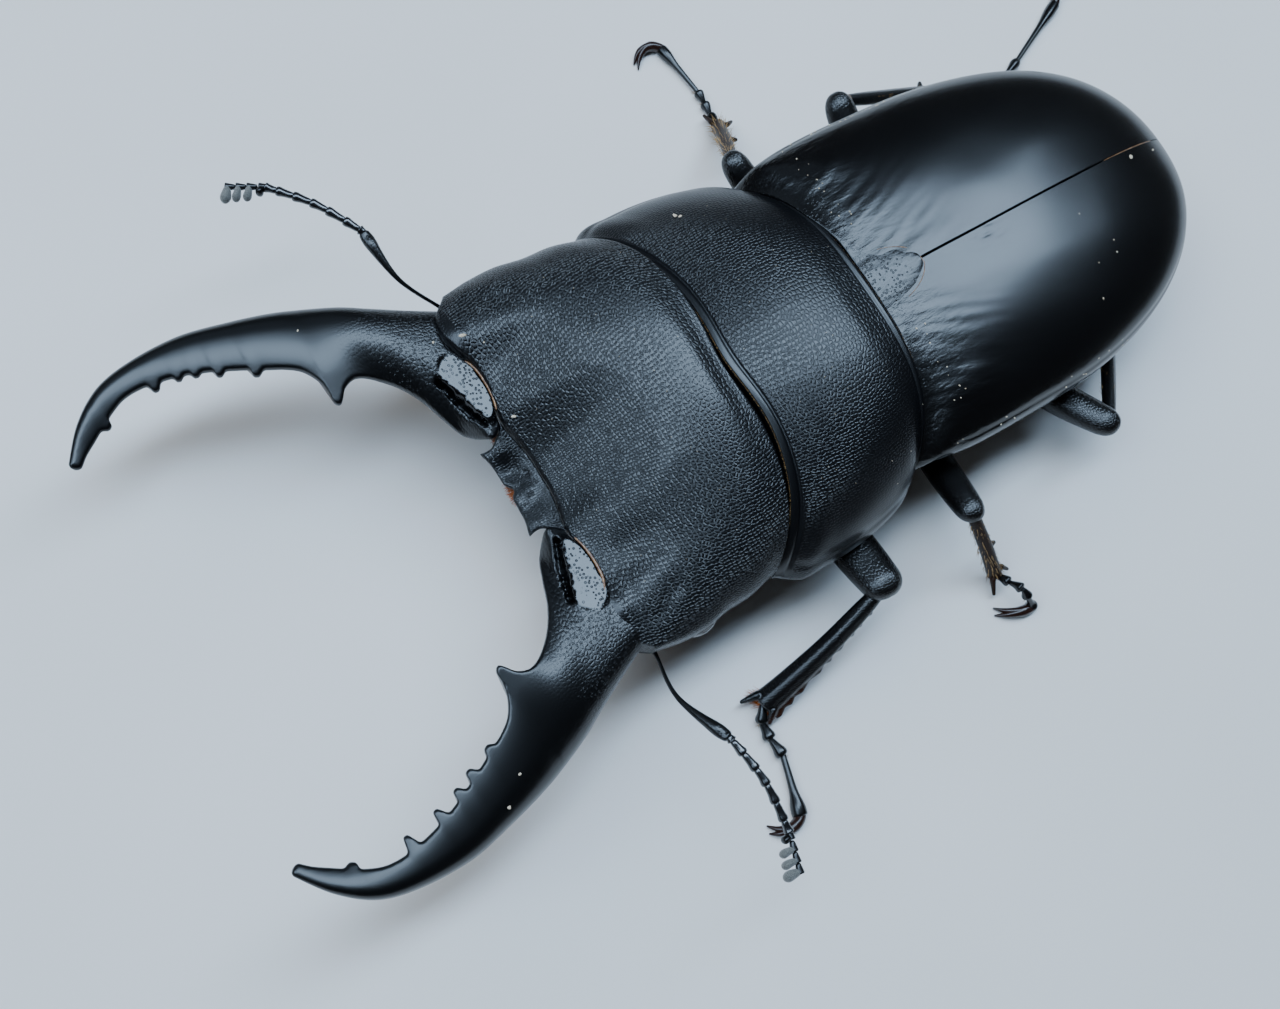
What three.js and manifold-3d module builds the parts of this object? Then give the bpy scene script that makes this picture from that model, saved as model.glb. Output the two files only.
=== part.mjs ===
// A giant stag beetle, a large-jawed male, at life size and standing still.
// Millimetres, +Z up. The head points along -Y and the beetle's own left is +X.
// The body is laid out around the middle of the joint between pronotum and wing cases, with Z = 0
// at the body's side margins; the last lines move it so that the feet stand on Z = 0.
import * as THREE from 'three';
import Module from 'manifold-3d';

const wasm = await Module();
wasm.setup();

// ---- Driving dimensions ----
const gap = 0.3;                 // clear space between neighbouring pieces
const ground = -9.6;             // height of the ground below the side margins
const sole = -9.15;              // height of a foot's middle line
const pronotum = { front: -15.2, rear: 0.4, crown: 7.4, margin: -1, rim: 0.6 };
const head = { front: -33.2, crown: 6.6, socketX: 14, rim: 1.3 };
const wingCases = {
  halfWidth: 16.4, shoulder: 15.8, widest: 12, apex: 39.4, crown: 6.9, rim: 1,
};
const scutellum = { halfWidth: 2.5, length: 5, front: 0.95, depth: 1.5 };
const belly = { prosternum: 4.9, metasternum: 5.6, abdomen: 5.4 };
const eye = { place: [16.6, -27.2, -0.6], radii: [1.7, 2, 1.5] };
const mandible = { blunt: 0.35, sides: 8, stations: 15 };
const toothTip = 0.32;           // half thickness at the end of every tooth

// ---- Finishes ----
const finishes = {
  shell: { color: 0x14161b, roughness: 0.42, metalness: 0 },
  gloss: { color: 0x08090c, roughness: 0.18, metalness: 0 },
  horn: { color: 0x101216, roughness: 0.3, metalness: 0 },
  limb: { color: 0x0b0a0b, roughness: 0.28, metalness: 0 },
  brown: { color: 0x1e110b, roughness: 0.35, metalness: 0 },
  eye: { color: 0x1c0d08, roughness: 0.12, metalness: 0 },
  club: { color: 0x6f7378, roughness: 0.75, metalness: 0 },
};

const beetle = new THREE.Group();

// ---- Curves ----

/** A superellipse arc: 1 in the middle, 0 at t = -1 and t = 1. */
function dome(t, power) {
  return (1 - Math.min(1, Math.abs(t)) ** power) ** (1 / power);
}

/** A flatter arch that leaves its edges at a shallow slope: 1 in the middle, 0 at u = -1 and 1. */
function vault(u) {
  return (1 - Math.min(1, Math.abs(u)) ** 2.4) ** 0.6;
}

/** A smooth curve through evenly spaced values, read at t from 0 to 1. */
function profile(...values) {
  const curve = new THREE.SplineCurve(values.map((value, i) => new THREE.Vector2(i, value)));
  return (t) => curve.getPoint(Math.min(1, Math.max(0, t))).y;
}

/** A soft step from 0 to 1 while t goes from a to b. */
function step(t, a, b) {
  return THREE.MathUtils.smoothstep(t, a, b);
}

// ---- Solids ----

/** A manifold solid from points and triangles, turned so that its faces point outwards. */
function solid(points, triangles) {
  let volume = 0;
  for (const [a, b, c] of triangles) volume += points[a].dot(points[b].clone().cross(points[c]));
  const turned = volume < 0 ? triangles.map(([a, b, c]) => [a, c, b]) : triangles;
  return new wasm.Manifold(new wasm.Mesh({
    numProp: 3,
    vertProperties: new Float32Array(points.flatMap((p) => [p.x, p.y, p.z])),
    triVerts: new Uint32Array(turned.flat()),
  }));
}

/**
 * A closed plate between an upper and a lower surface. Both are functions of u, from -1 at the
 * right edge to 1 at the left, and v, from 0 to 1 along the plate, and give [x, y, z].
 */
function plate(upper, lower, across, along, crowd = Math.PI / 2) {
  const points = [];
  const triangles = [];
  const at = (side, i, j) => side * (across + 1) * (along + 1) + i * (along + 1) + j;
  const quad = (a, b, c, d) => triangles.push([a, b, c], [a, c, d]);
  for (const surface of [upper, lower]) {
    for (let i = 0; i <= across; i += 1) {
      const u = Math.sin(crowd * (2 * i / across - 1)) / Math.sin(crowd);
      for (let j = 0; j <= along; j += 1) points.push(new THREE.Vector3(...surface(u, j / along)));
    }
  }
  for (let i = 0; i < across; i += 1) {
    for (let j = 0; j < along; j += 1) {
      quad(at(0, i, j), at(0, i + 1, j), at(0, i + 1, j + 1), at(0, i, j + 1));
      quad(at(1, i, j + 1), at(1, i + 1, j + 1), at(1, i + 1, j), at(1, i, j));
    }
    quad(at(0, i + 1, 0), at(0, i, 0), at(1, i, 0), at(1, i + 1, 0));
    quad(at(0, i, along), at(0, i + 1, along), at(1, i + 1, along), at(1, i, along));
  }
  for (let j = 0; j < along; j += 1) {
    quad(at(0, 0, j), at(0, 0, j + 1), at(1, 0, j + 1), at(1, 0, j));
    quad(at(0, across, j + 1), at(0, across, j), at(1, across, j), at(1, across, j + 1));
  }
  return solid(points, triangles);
}

/** A closed skin over rings of equally many points, with a fan over each end. */
function skin(rings) {
  const sides = rings[0].length;
  const points = rings.flat();
  const triangles = [];
  for (let r = 0; r + 1 < rings.length; r += 1) {
    for (let s = 0; s < sides; s += 1) {
      const a = r * sides + s;
      const b = r * sides + (s + 1) % sides;
      triangles.push([a, b, b + sides], [a, b + sides, a + sides]);
    }
  }
  const last = (rings.length - 1) * sides;
  for (let s = 1; s + 1 < sides; s += 1) {
    triangles.push([0, s + 1, s], [last, last + s, last + s + 1]);
  }
  return solid(points, triangles);
}

/**
 * A limb along a smooth path: half its width lies level, half its depth upright. Both are
 * functions of t. grow makes it thicker and longer all over, for cutting clearance.
 */
function limb(path, width, depth, { stations = 8, sides = 8, up = [0, 0, 1], grow = 0 } = {}) {
  const curve = new THREE.CatmullRomCurve3(path.map((p) => new THREE.Vector3(...p)));
  const rings = [];
  for (let r = 0; r <= stations; r += 1) {
    const t = r / stations;
    const along = curve.getTangent(t);
    const level = new THREE.Vector3(...up).cross(along).normalize();
    const upright = along.clone().cross(level);
    const end = grow * (Number(r === stations) - Number(r === 0));
    const middle = curve.getPoint(t).addScaledVector(along, end);
    rings.push(Array.from({ length: sides }, (_, s) => {
      const turn = 2 * Math.PI * (s + 0.5) / sides;
      return middle.clone().addScaledVector(level, (width(t) + grow) * Math.cos(turn))
        .addScaledVector(upright, (depth(t) + grow) * Math.sin(turn));
    }));
  }
  return skin(rings);
}

/** An egg shape at a place, with three radii. */
function egg(place, radii, grow = 0, sides = 8) {
  const rings = [];
  const rows = Math.round(sides / 2);
  for (let r = 0; r <= rows; r += 1) {
    const lift = Math.PI * (0.06 + 0.88 * r / rows - 0.5);
    rings.push(Array.from({ length: sides }, (_, s) => {
      const turn = 2 * Math.PI * s / sides;
      return new THREE.Vector3(
        place[0] + (radii[0] + grow) * Math.cos(lift) * Math.cos(turn),
        place[1] + (radii[1] + grow) * Math.cos(lift) * Math.sin(turn),
        place[2] + (radii[2] + grow) * Math.sin(lift),
      );
    }));
  }
  return skin(rings);
}

/** A solid without what each of the cutters fills. */
function cut(body, ...cutters) {
  return cutters.reduce((left, cutter) => left.subtract(cutter), body);
}

/** Everything above the ground, so that a foot ends in a flat sole. */
function aboveGround(body) {
  return body.trimByPlane([0, 0, 1], ground);
}

/** Adds a solid to the beetle as a named mesh with its own material. */
function add(name, body, finish) {
  const { vertProperties, triVerts, numProp } = body.getMesh();
  const places = new Float32Array(vertProperties.length / numProp * 3);
  for (let i = 0; i < places.length / 3; i += 1) {
    places.set(vertProperties.subarray(i * numProp, i * numProp + 3), i * 3);
  }
  const geometry = new THREE.BufferGeometry();
  geometry.setAttribute('position', new THREE.BufferAttribute(places, 3));
  geometry.setIndex(Array.from(triVerts));
  geometry.computeVertexNormals();
  const mesh = new THREE.Mesh(geometry, new THREE.MeshStandardMaterial(finishes[finish]));
  mesh.name = name;
  beetle.add(mesh);
}

/** The same point on the left (side 1) or right (side -1) of the body. */
function onSide(side, [x, y, z]) {
  return [side * x, y, z];
}

const sides = { left: 1, right: -1 };

// ---- Pronotum: the shield behind the head ----

/** Front margin: hollow, with corners that reach forwards beside the head. */
function pronotumFront(u) {
  return pronotum.front - 4.3 * Math.abs(u) ** 4.5;
}

/** Rear margin: drawn forwards towards the hind corners. */
function pronotumRear(u) {
  return pronotum.rear - 1.8 * Math.abs(u) ** 3;
}

const pronotumWidth = profile(17.1, 18.5, 18.6, 18.6, 18.4, 18, 17.3, 15.7);
const pronotumCrown = profile(7, pronotum.crown, pronotum.crown, 7, 6.1);

function makePronotum() {
  const at = (u, v, z) => [
    u * pronotumWidth(v),
    THREE.MathUtils.lerp(pronotumFront(u), pronotumRear(u), v),
    z,
  ];
  const shield = plate(
    (u, v) => at(u, v, pronotumCrown(v) * vault(u) + pronotum.margin * (1 - vault(u))),
    (u, v) => at(u, v, pronotum.margin - pronotum.rim),
    14,
    7,
  );
  add('pronotum', shield, 'shell');
}

// ---- Head: a broad, blunt block, hollow above the mouth ----

const headWidth = profile(17, 17.5, 17.6, 18, 17.9, 17.5);
const headCrown = profile(6.1, head.crown, 6.4, 5.6, 4.6, 3.6);
const headBelly = profile(5.4, 5.6, 5.5, 4.8, 4.2);
const headMargin = profile(0.2, 0.4, 0.8, 1.5);

/** Front edge: the jaw sockets stand a little forwards and the outer corners are rounded. */
function headFront(u) {
  const socket = Math.exp(-(((Math.abs(u) * 17.5 - head.socketX) / 2) ** 2));
  return head.front - 1.1 * socket + 1.1 * Math.abs(u) ** 16;
}

function headPoint(u, v, z) {
  const rear = pronotumFront(u) - gap;
  return [u * headWidth(v), THREE.MathUtils.lerp(rear, headFront(u), v), z];
}

function headTop(u, v) {
  const hollow = 2.4 * step(v, 0.35, 1) * Math.exp(-((u * headWidth(v) / 7) ** 2));
  const arch = dome(u, 2.5);
  return headPoint(u, v, headCrown(v) * arch + headMargin(v) * (1 - arch) - hollow);
}

function headBottom(u, v) {
  return headPoint(u, v, headMargin(v) - head.rim - headBelly(v) * dome(u, 2.6));
}

/** The eye sits in a socket under the ridge at the side of the head. */
function makeHeadAndEyes() {
  const block = plate(headTop, headBottom, 14, 7);
  const sockets = Object.values(sides).flatMap((side) => [
    egg(onSide(side, eye.place), eye.radii, gap, 8),
    makeBlade(side, 0.2, gap),
  ]);
  add('head', cut(block, ...sockets), 'shell');
  for (const [name, side] of Object.entries(sides)) {
    add(`eye_${name}`, egg(onSide(side, eye.place), eye.radii), 'eye');
  }
}

// ---- Mandibles: flat, strong jaws with one great tooth and a row of small ones ----

const innerEdge = new THREE.SplineCurve([
  [5.4, -33.9], [4.9, -35.4], [7.3, -37.2], [11.3, -39.1], [13.8, -42.2], [15.3, -45.2],
  [18, -49.4], [19.9, -53.8], [20.6, -58], [19.6, -61.6], [17.5, -64.5],
].map(([x, y]) => new THREE.Vector2(x, y)));
const outerEdge = new THREE.SplineCurve([
  [16.5, -32.5], [17.7, -35], [18.8, -36.9], [20.1, -39.3], [21.6, -42.3], [22.8, -45.6],
  [23.8, -49.9], [24.2, -54.4], [23.7, -59], [21.4, -62.7], [17.9, -65],
].map(([x, y]) => new THREE.Vector2(x, y)));
const mandibleDepth = profile(1.9, 2.5, 2.6, 2.5, 2.3, 2.1, 1.9, 1.7, 1.4, 1, mandible.blunt);
const mandibleLift = profile(0.6, 0.9, 1.1, 1.2, 1.3, 1.3, 1.2, 0.9, 0.7, 0.7, 0.9);

// A small tooth: where it stands on the inner edge, how far it reaches and how thick it is.
const smallTeeth = [
  { foot: [18.4, -47.5], tip: [17.3, -48.3], root: 0.95 },
  { foot: [19.4, -49.6], tip: [18.3, -50.3], root: 0.8 },
  { foot: [20.1, -51.2], tip: [18.9, -51.7], root: 0.8 },
  { foot: [20.8, -53.1], tip: [19.7, -53.7], root: 0.9 },
  { foot: [21.5, -56.0], tip: [20.3, -56.7], root: 0.95 },
  { foot: [20.7, -60.3], tip: [19.4, -61.1], root: 0.7 },
];

/** Makes a round section fuller towards its corners. */
function boxy(value) {
  return Math.sign(value) * Math.abs(value) ** 0.8;
}

/** The blade of a mandible, up to reach of its length, with grow added all round. */
function makeBlade(side, reach = 1, grow = 0) {
  const rings = [];
  const stations = Math.round(mandible.stations * reach);
  for (let r = 0; r <= stations; r += 1) {
    const t = reach * r / stations;
    const inner = innerEdge.getPoint(t);
    const outer = outerEdge.getPoint(t);
    const swell = 0.5 + grow / inner.distanceTo(outer);
    rings.push(Array.from({ length: mandible.sides }, (_, s) => {
      const turn = 2 * Math.PI * s / mandible.sides;
      const plan = inner.clone().lerp(outer, 0.5 + swell * boxy(Math.cos(turn)));
      const z = mandibleLift(t) + (mandibleDepth(t) + grow) * boxy(Math.sin(turn));
      return new THREE.Vector3(side * plan.x, plan.y + (r === 0 ? grow : 0), z);
    }));
  }
  return skin(rings);
}

function makeMandible(name, side) {
  const spike = (path, width, depth) => limb(
    path.map((p) => onSide(side, p)),
    profile(...width),
    profile(...depth),
    { stations: path.length, sides: 5 },
  );
  const greatTooth = spike(
    [[17.4, -42.4, 1.1], [14.7, -43.3, 1.4], [12.3, -44.5, 1.8]],
    [2.9, 1.6, toothTip],
    [1.9, 1.2, toothTip],
  );
  const row = smallTeeth.map(({ foot, tip, root }) => spike(
    [[...foot, 1.6], [...tip, 1.9]],
    [root, toothTip],
    [0.8, toothTip],
  ));
  const jaw = row.reduce((body, tooth) => body.add(tooth), makeBlade(side).add(greatTooth));
  add(`mandible_${name}`, jaw, 'horn');
}

// ---- Mouth: labrum with two points, mentum below, and the feelers of the mouth ----

function makeMouth() {
  const width = profile(5.1, 4.9, 4.4);
  const lip = (u, v, z) => {
    const front = -34.9 - 1.1 * Math.exp(-(((Math.abs(u) - 0.9) / 0.2) ** 2));
    return [u * width(v), THREE.MathUtils.lerp(head.front - gap, front, v), z];
  };
  add('labrum', plate(
    (u, v) => lip(u, v, 1 - 0.9 * v + 0.3 * Math.abs(u)),
    (u, v) => lip(u, v, -1.2 - 0.2 * v),
    12,
    3,
    1,
  ), 'shell');
  const chin = (u, v, drop) => {
    const [x, y, z] = headBottom(0.3 * u, THREE.MathUtils.lerp(0.58, 0.9, v));
    return [x, y, z - drop];
  };
  add('mentum', plate(
    (u, v) => chin(u, v, gap),
    (u, v) => chin(u, v, gap + 0.9 - 0.2 * u * u),
    6,
    3,
    1,
  ), 'shell');
  for (const [name, side] of Object.entries(sides)) {
    add(`palp_outer_${name}`, limb(
      [[4.4, -33.2, -5.3], [5.8, -34.2, -5.3], [7.1, -34.8, -5.6]].map((p) => onSide(side, p)),
      profile(0.45, 0.4, 0.5, 0.4, 0.55, 0.35),
      profile(0.45, 0.4, 0.5, 0.4, 0.55, 0.35),
      { stations: 5, sides: 5 },
    ), 'brown');
    add(`palp_inner_${name}`, limb(
      [[1.4, -32.4, -4.6], [2, -33.4, -4.8], [2.6, -34.4, -5.2]].map((p) => onSide(side, p)),
      profile(0.4, 0.35, 0.5, 0.3),
      profile(0.4, 0.35, 0.5, 0.3),
      { stations: 4, sides: 5 },
    ), 'brown');
  }
}

// ---- Wing cases, scutellum ----

/** Half width of the closed wing cases at a place along the body. */
function caseWidth(y) {
  if (y > wingCases.widest) {
    const t = (y - wingCases.widest) / (wingCases.apex - wingCases.widest);
    return wingCases.halfWidth * dome(t, 2.3);
  }
  const shoulder = wingCases.halfWidth - wingCases.shoulder;
  return wingCases.halfWidth - shoulder * Math.max(0, (8 - y) / 9) ** 3;
}

/** Height of the wing cases' ridge line. */
function caseCrown(y) {
  if (y < 10) return wingCases.crown - 0.9 * ((10 - y) / 9) ** 2;
  return wingCases.crown * dome((y - 10) / (wingCases.apex + 0.4 - 10), 2.2);
}

/** Height of the wing cases' side edge, which stands up at the shoulders. */
function caseMargin(y) {
  return 0.5 + 1.5 * (1 - step(y, 6, 24));
}

/** A point of the wing cases' upper surface; v runs from the pronotum to the apex. */
function caseTop(side, u, v) {
  const run = 1 - (1 - v) ** 1.6;
  const start = pronotumRear(0.94 * u) + gap;
  const y = THREE.MathUtils.lerp(start, wingCases.apex - 0.5, run);
  const width = caseWidth(y);
  const seam = gap / 2;
  const arch = dome(u, 2.6);
  const z = caseCrown(y) * arch + caseMargin(y) * (1 - arch);
  return [side * (seam + u * (width - seam)), y, z];
}

function makeScutellum() {
  const at = (u, v, lift) => {
    const y = scutellum.front + scutellum.length * v;
    const x = u * scutellum.halfWidth * Math.sqrt(1.02 - v * v);
    return [x, y, caseCrown(y) + lift];
  };
  const shape = (grow) => plate(
    (u, v) => {
      const [x, y, z] = at(u, v, 0.05 - 0.15 * u * u);
      return [x + grow * u, y + grow * (2 * v - 1), z + 4 * grow];
    },
    (u, v) => {
      const [x, y, z] = at(u, v, -scutellum.depth);
      return [x + grow * u, y + grow * (2 * v - 1), z - grow];
    },
    6,
    5,
    1.2,
  );
  add('scutellum', shape(0), 'gloss');
  return shape(gap);
}

function makeWingCases(scutellumRoom) {
  for (const [name, side] of Object.entries(sides)) {
    const shell = plate(
      (s, v) => caseTop(side, (s + 1) / 2, v),
      (s, v) => {
        const [x, y] = caseTop(side, (s + 1) / 2, v);
        return [x, y, -wingCases.rim];
      },
      7,
      12,
      1.35,
    );
    add(`elytron_${name}`, cut(shell, scutellumRoom), 'gloss');
  }
}

// ---- Legs ----

// Each leg: the places of its joints, the foot's joints out to the claw, and where the claws curl.
const legs = {
  fore_left: {
    coxa: [4.8, -9.6, -6], hip: [8.8, -9.9, -5.8], knee: [22.6, -10.6, -1.6],
    ankle: [25.8, -23.7, -8.5], foot: [[27.1, -24.4], [28.7, -24.5], [30.5, -24.3], [35.7, -25.9]],
    claw: [[36.1, -27.5], [34.9, -28.9]], size: 1.12, broad: 1,
  },
  fore_right: {
    coxa: [-4.8, -9.6, -6], hip: [-7.6, -9.5, -6], knee: [-17.6, -11.6, -4.2],
    ankle: [-15.4, -23.6, -8.5],
    foot: [[-15.3, -25], [-15.2, -26.6], [-15, -28.2], [-14.6, -33.1]],
    claw: [[-14.7, -34.7], [-14, -35.8]], size: 1.12, broad: 1,
  },
  mid_left: {
    coxa: [4.8, 4, -6.2], hip: [8.6, 3.3, -5.9], knee: [21, 0.4, -1.2],
    ankle: [27, 2.8, -8.4], foot: [[28.3, 3.2], [29.4, 3.5], [30.3, 3.9], [31.3, 4.6]],
    arch: 2.4, claw: [[31, 2.8], [29.6, 1.2]], size: 0.95, broad: 0.7,
  },
  mid_right: {
    coxa: [-4.8, 4, -6.2], hip: [-8.4, 3.2, -5.9], knee: [-18.7, 0, -1.3],
    ankle: [-25.6, 4.9, -8.4],
    foot: [[-27.2, 5.2], [-28.7, 5.4], [-30.1, 5.5], [-36.1, 4.7]],
    claw: [[-36.9, 2.9], [-35.6, 1.3]], size: 0.95, broad: 0.7,
  },
  hind_left: {
    coxa: [5.8, 13.4, -6.1], hip: [9.4, 14.6, -6], knee: [20.6, 19, -3],
    ankle: [9, 31.2, -8.4], foot: [[8.6, 33.2], [8.3, 34.9], [8, 36.5], [6.6, 42]],
    claw: [[5.6, 43.4], [4.2, 43.8]], size: 1, broad: 0.75,
  },
  hind_right: {
    coxa: [-5.8, 13.4, -6.1], hip: [-9.4, 13.8, -6], knee: [-19.7, 13.3, -1.4],
    ankle: [-17, 33.2, -8.3],
    foot: [[-17, 35.6], [-17.3, 37.7], [-18.3, 40.2], [-22.4, 48.9]],
    claw: [[-23.7, 50.6], [-23.1, 52.4]], size: 1, broad: 0.75,
  },
};

const femurWidth = profile(1.15, 1.75, 2, 2, 1.7);
const femurDepth = profile(1.1, 1.4, 1.5, 1.4, 1.1);
const tibiaWidth = profile(0.85, 1.05, 1.15, 1.3, 1.5);
const tibiaDepth = profile(0.75, 0.8, 0.85, 0.9, 0.95);

function makeCoxa({ coxa, hip, size }, grow = 0) {
  const end = coxa.map((value, i) => THREE.MathUtils.lerp(value, hip[i], 0.8));
  const start = coxa.map((value, i) => THREE.MathUtils.lerp(value, hip[i], -0.35));
  const swell = profile(0.9, 1.9, 1.9, 1.1);
  return limb([start, coxa, end], (t) => size * swell(t), (t) => 0.95 * size * swell(t), {
    stations: 3, sides: 6, grow: 1.2 * grow,
  });
}

function makeFemur({ hip, knee, size }, grow = 0) {
  const middle = hip.map((value, i) => (value + knee[i]) / 2);
  middle[2] -= 0.5;
  const end = knee.map((value, i) => THREE.MathUtils.lerp(value, hip[i], -0.06));
  return limb([hip, middle, end], (t) => size * femurWidth(t), (t) => size * femurDepth(t), {
    stations: 4, sides: grow > 0 ? 6 : 8, grow: 1.3 * grow,
  });
}

/** The shin widens to the ankle, where it carries two spurs, and has thorns along its rear edge. */
function makeTibia({ knee, ankle, size, broad }, grow = 0) {
  const from = new THREE.Vector3(...knee);
  const to = new THREE.Vector3(...ankle);
  const along = to.clone().sub(from).normalize();
  from.addScaledVector(along, 0.9 * size);
  const level = new THREE.Vector3(0, 0, 1).cross(along).normalize();
  const upright = along.clone().cross(level);
  const rear = level.clone().multiplyScalar(Math.sign(level.x * from.x) || 1);
  let body = limb(
    [from.toArray(), to.toArray()],
    (t) => size * broad ** t * tibiaWidth(t),
    (t) => size * tibiaDepth(t),
    { stations: 3, sides: 6, grow },
  );
  if (grow > 0) return body;
  const spike = (start, end, root) => limb(
    [start.toArray(), end.toArray()],
    profile(root, 0.27),
    profile(root, 0.27),
    { stations: 1, sides: 4 },
  );
  for (const turn of [-1, 1]) {
    const start = to.clone().addScaledVector(level, 0.7 * turn * size)
      .addScaledVector(upright, 0.6).addScaledVector(along, -0.6);
    const end = start.clone().addScaledVector(along, 1.7).addScaledVector(level, 0.5 * turn)
      .addScaledVector(upright, 0.3);
    body = body.add(spike(start, end, 0.42));
  }
  const thorns = broad === 1 ? [0.3, 0.42, 0.54, 0.66, 0.78, 0.9] : [0.6];
  for (const place of thorns) {
    const start = from.clone().lerp(to, place).addScaledVector(rear, 0.4 * size);
    const end = start.clone().addScaledVector(rear, 0.5 + place).addScaledVector(along, 0.6);
    body = body.add(spike(start, end, 0.5));
  }
  return body;
}

/** The foot: four short joints and a long one that thickens towards the claws. */
function makeTarsus({ ankle, foot, arch = 0, size }, grow = 0) {
  const rise = (i) => arch * Math.max(0, 1 - (i - 1) ** 2 / 3);
  const joints = [ankle, ...foot.map(([x, y], i) => [x, y, sole + rise(i)])];
  const rings = [];
  const corners = 5;
  const ring = (place, along, radius) => {
    const level = new THREE.Vector3(0, 0, 1).cross(along).normalize();
    const upright = along.clone().cross(level);
    rings.push(Array.from({ length: corners }, (_, s) => {
      const turn = 2 * Math.PI * s / corners;
      return place.clone().addScaledVector(level, radius * Math.cos(turn))
        .addScaledVector(upright, radius * Math.sin(turn));
    }));
  };
  for (let i = 0; i + 1 < joints.length; i += 1) {
    const from = new THREE.Vector3(...joints[i]);
    const to = new THREE.Vector3(...joints[i + 1]);
    const along = to.clone().sub(from).normalize();
    const long = i + 2 === joints.length;
    if (i === 0) from.addScaledVector(along, 0.2);
    const beads = long ? [[0.04, 0.36], [0.5, 0.42], [0.86, 0.72], [0.98, 0.5]]
      : [[0.1, 0.38], [0.85, 0.62]];
    for (const [place, radius] of beads) {
      ring(from.clone().lerp(to, place), along, radius * size + grow);
    }
    if (long && grow > 0) ring(to.clone().addScaledVector(along, grow), along, 0.5 * size + grow);
  }
  return skin(rings);
}

/** Two hooked claws on a common root at the end of the foot. */
function makeClaws({ foot, claw, size }) {
  const [endX, endY] = foot[foot.length - 1];
  const root = new THREE.Vector3(endX, endY, sole);
  const bend = new THREE.Vector3(...claw[0], sole + 0.15);
  const tip = new THREE.Vector3(...claw[1], ground + 0.22);
  const across = new THREE.Vector3(0, 0, 1).cross(tip.clone().sub(root)).normalize();
  const [first, second] = [0.15, 1].map((spread) => {
    const shift = (point, by) => point.clone().addScaledVector(across, by * spread).toArray();
    return limb(
      [root.toArray(), shift(bend, 0.6), shift(tip, 1.3)],
      profile(0.45 * size, 0.4, 0.26),
      profile(0.42 * size, 0.38, 0.26),
      { stations: 3, sides: 4 },
    );
  });
  return first.add(second);
}

/** Makes all the legs, and gives back the room that each pair needs in the body. */
function makeLegs() {
  const room = { fore: [], mid: [], hind: [] };
  for (const [name, leg] of Object.entries(legs)) {
    const coxaRoom = makeCoxa(leg, gap);
    const femurRoom = makeFemur(leg, gap);
    room[name.split('_')[0]].push(coxaRoom, femurRoom);
    add(`${name}_coxa`, cut(makeCoxa(leg), femurRoom), 'limb');
    add(`${name}_femur`, cut(makeFemur(leg), makeTibia(leg, gap)), 'limb');
    const toe = [...leg.foot[leg.foot.length - 1], sole];
    const claws = cut(aboveGround(makeClaws(leg)), egg(toe, [0.8, 0.8, 0.8], gap, 6));
    const tarsus = cut(aboveGround(makeTarsus(leg)), makeTibia(leg, gap));
    add(`${name}_tibia`, makeTibia(leg), name.startsWith('mid') ? 'brown' : 'limb');
    add(`${name}_tarsus`, tarsus, 'limb');
    add(`${name}_claws`, claws, 'limb');
  }
  return room;
}

// ---- Underside of the body ----

function makeUnderside(legRoom) {
  const chest = (u, v, z) => [
    0.93 * u * pronotumWidth(v),
    THREE.MathUtils.lerp(pronotumFront(u) + 0.9, pronotumRear(u) - 0.4, v),
    z,
  ];
  const top = pronotum.margin - pronotum.rim - gap;
  add('prosternum', cut(plate(
    (u, v) => chest(u, v, top),
    (u, v) => chest(u, v, top - 0.5 - belly.prosternum * (1 - Math.abs(u) ** 1.6) ** 0.9),
    10,
    4,
  ), ...legRoom.fore), 'shell');
  const under = -wingCases.rim - gap;
  const segment = (name, startY, endY, depth, power, rows, room) => {
    const at = (u, v, z) => {
      const y = THREE.MathUtils.lerp(startY, endY, v);
      return [u * Math.max(0.5, caseWidth(y) - 0.9), y, z];
    };
    add(name, cut(plate(
      (u, v) => at(u, v, under),
      (u, v) => at(u, v, under - 0.5 - depth(v) * dome(u, power)),
      10,
      rows,
    ), ...room), 'shell');
  };
  const depth = profile(5.2, belly.abdomen, 5.2, 4.4, 2.2);
  const chestRoom = [...legRoom.mid, ...legRoom.hind];
  segment('metasternum', 0.5, 16.4, () => belly.metasternum, 2, 3, chestRoom);
  segment('abdomen', 16.7, 37.8, depth, 2.2, 6, legRoom.hind);
}

// ---- Antennae: a long scape, six small joints and a club of four ----

const antennae = {
  left: {
    root: [17.9, -31.7, -1.2], rise: [21.8, -32.6, 1.1], elbow: [26.6, -31.2, 2.9],
    lash: [[30.8, -30.5, 2.5], [35.4, -30.7, 1.5]], tip: [38.7, -31.6, 1],
  },
  right: {
    root: [-18, -32, -1.2], rise: [-20.7, -34.6, 1.7], elbow: [-25.3, -35.4, 2.9],
    lash: [[-29.2, -37.7, 3], [-32.7, -40.6, 2.6]], tip: [-34.4, -43.6, 2.2],
  },
};

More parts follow.
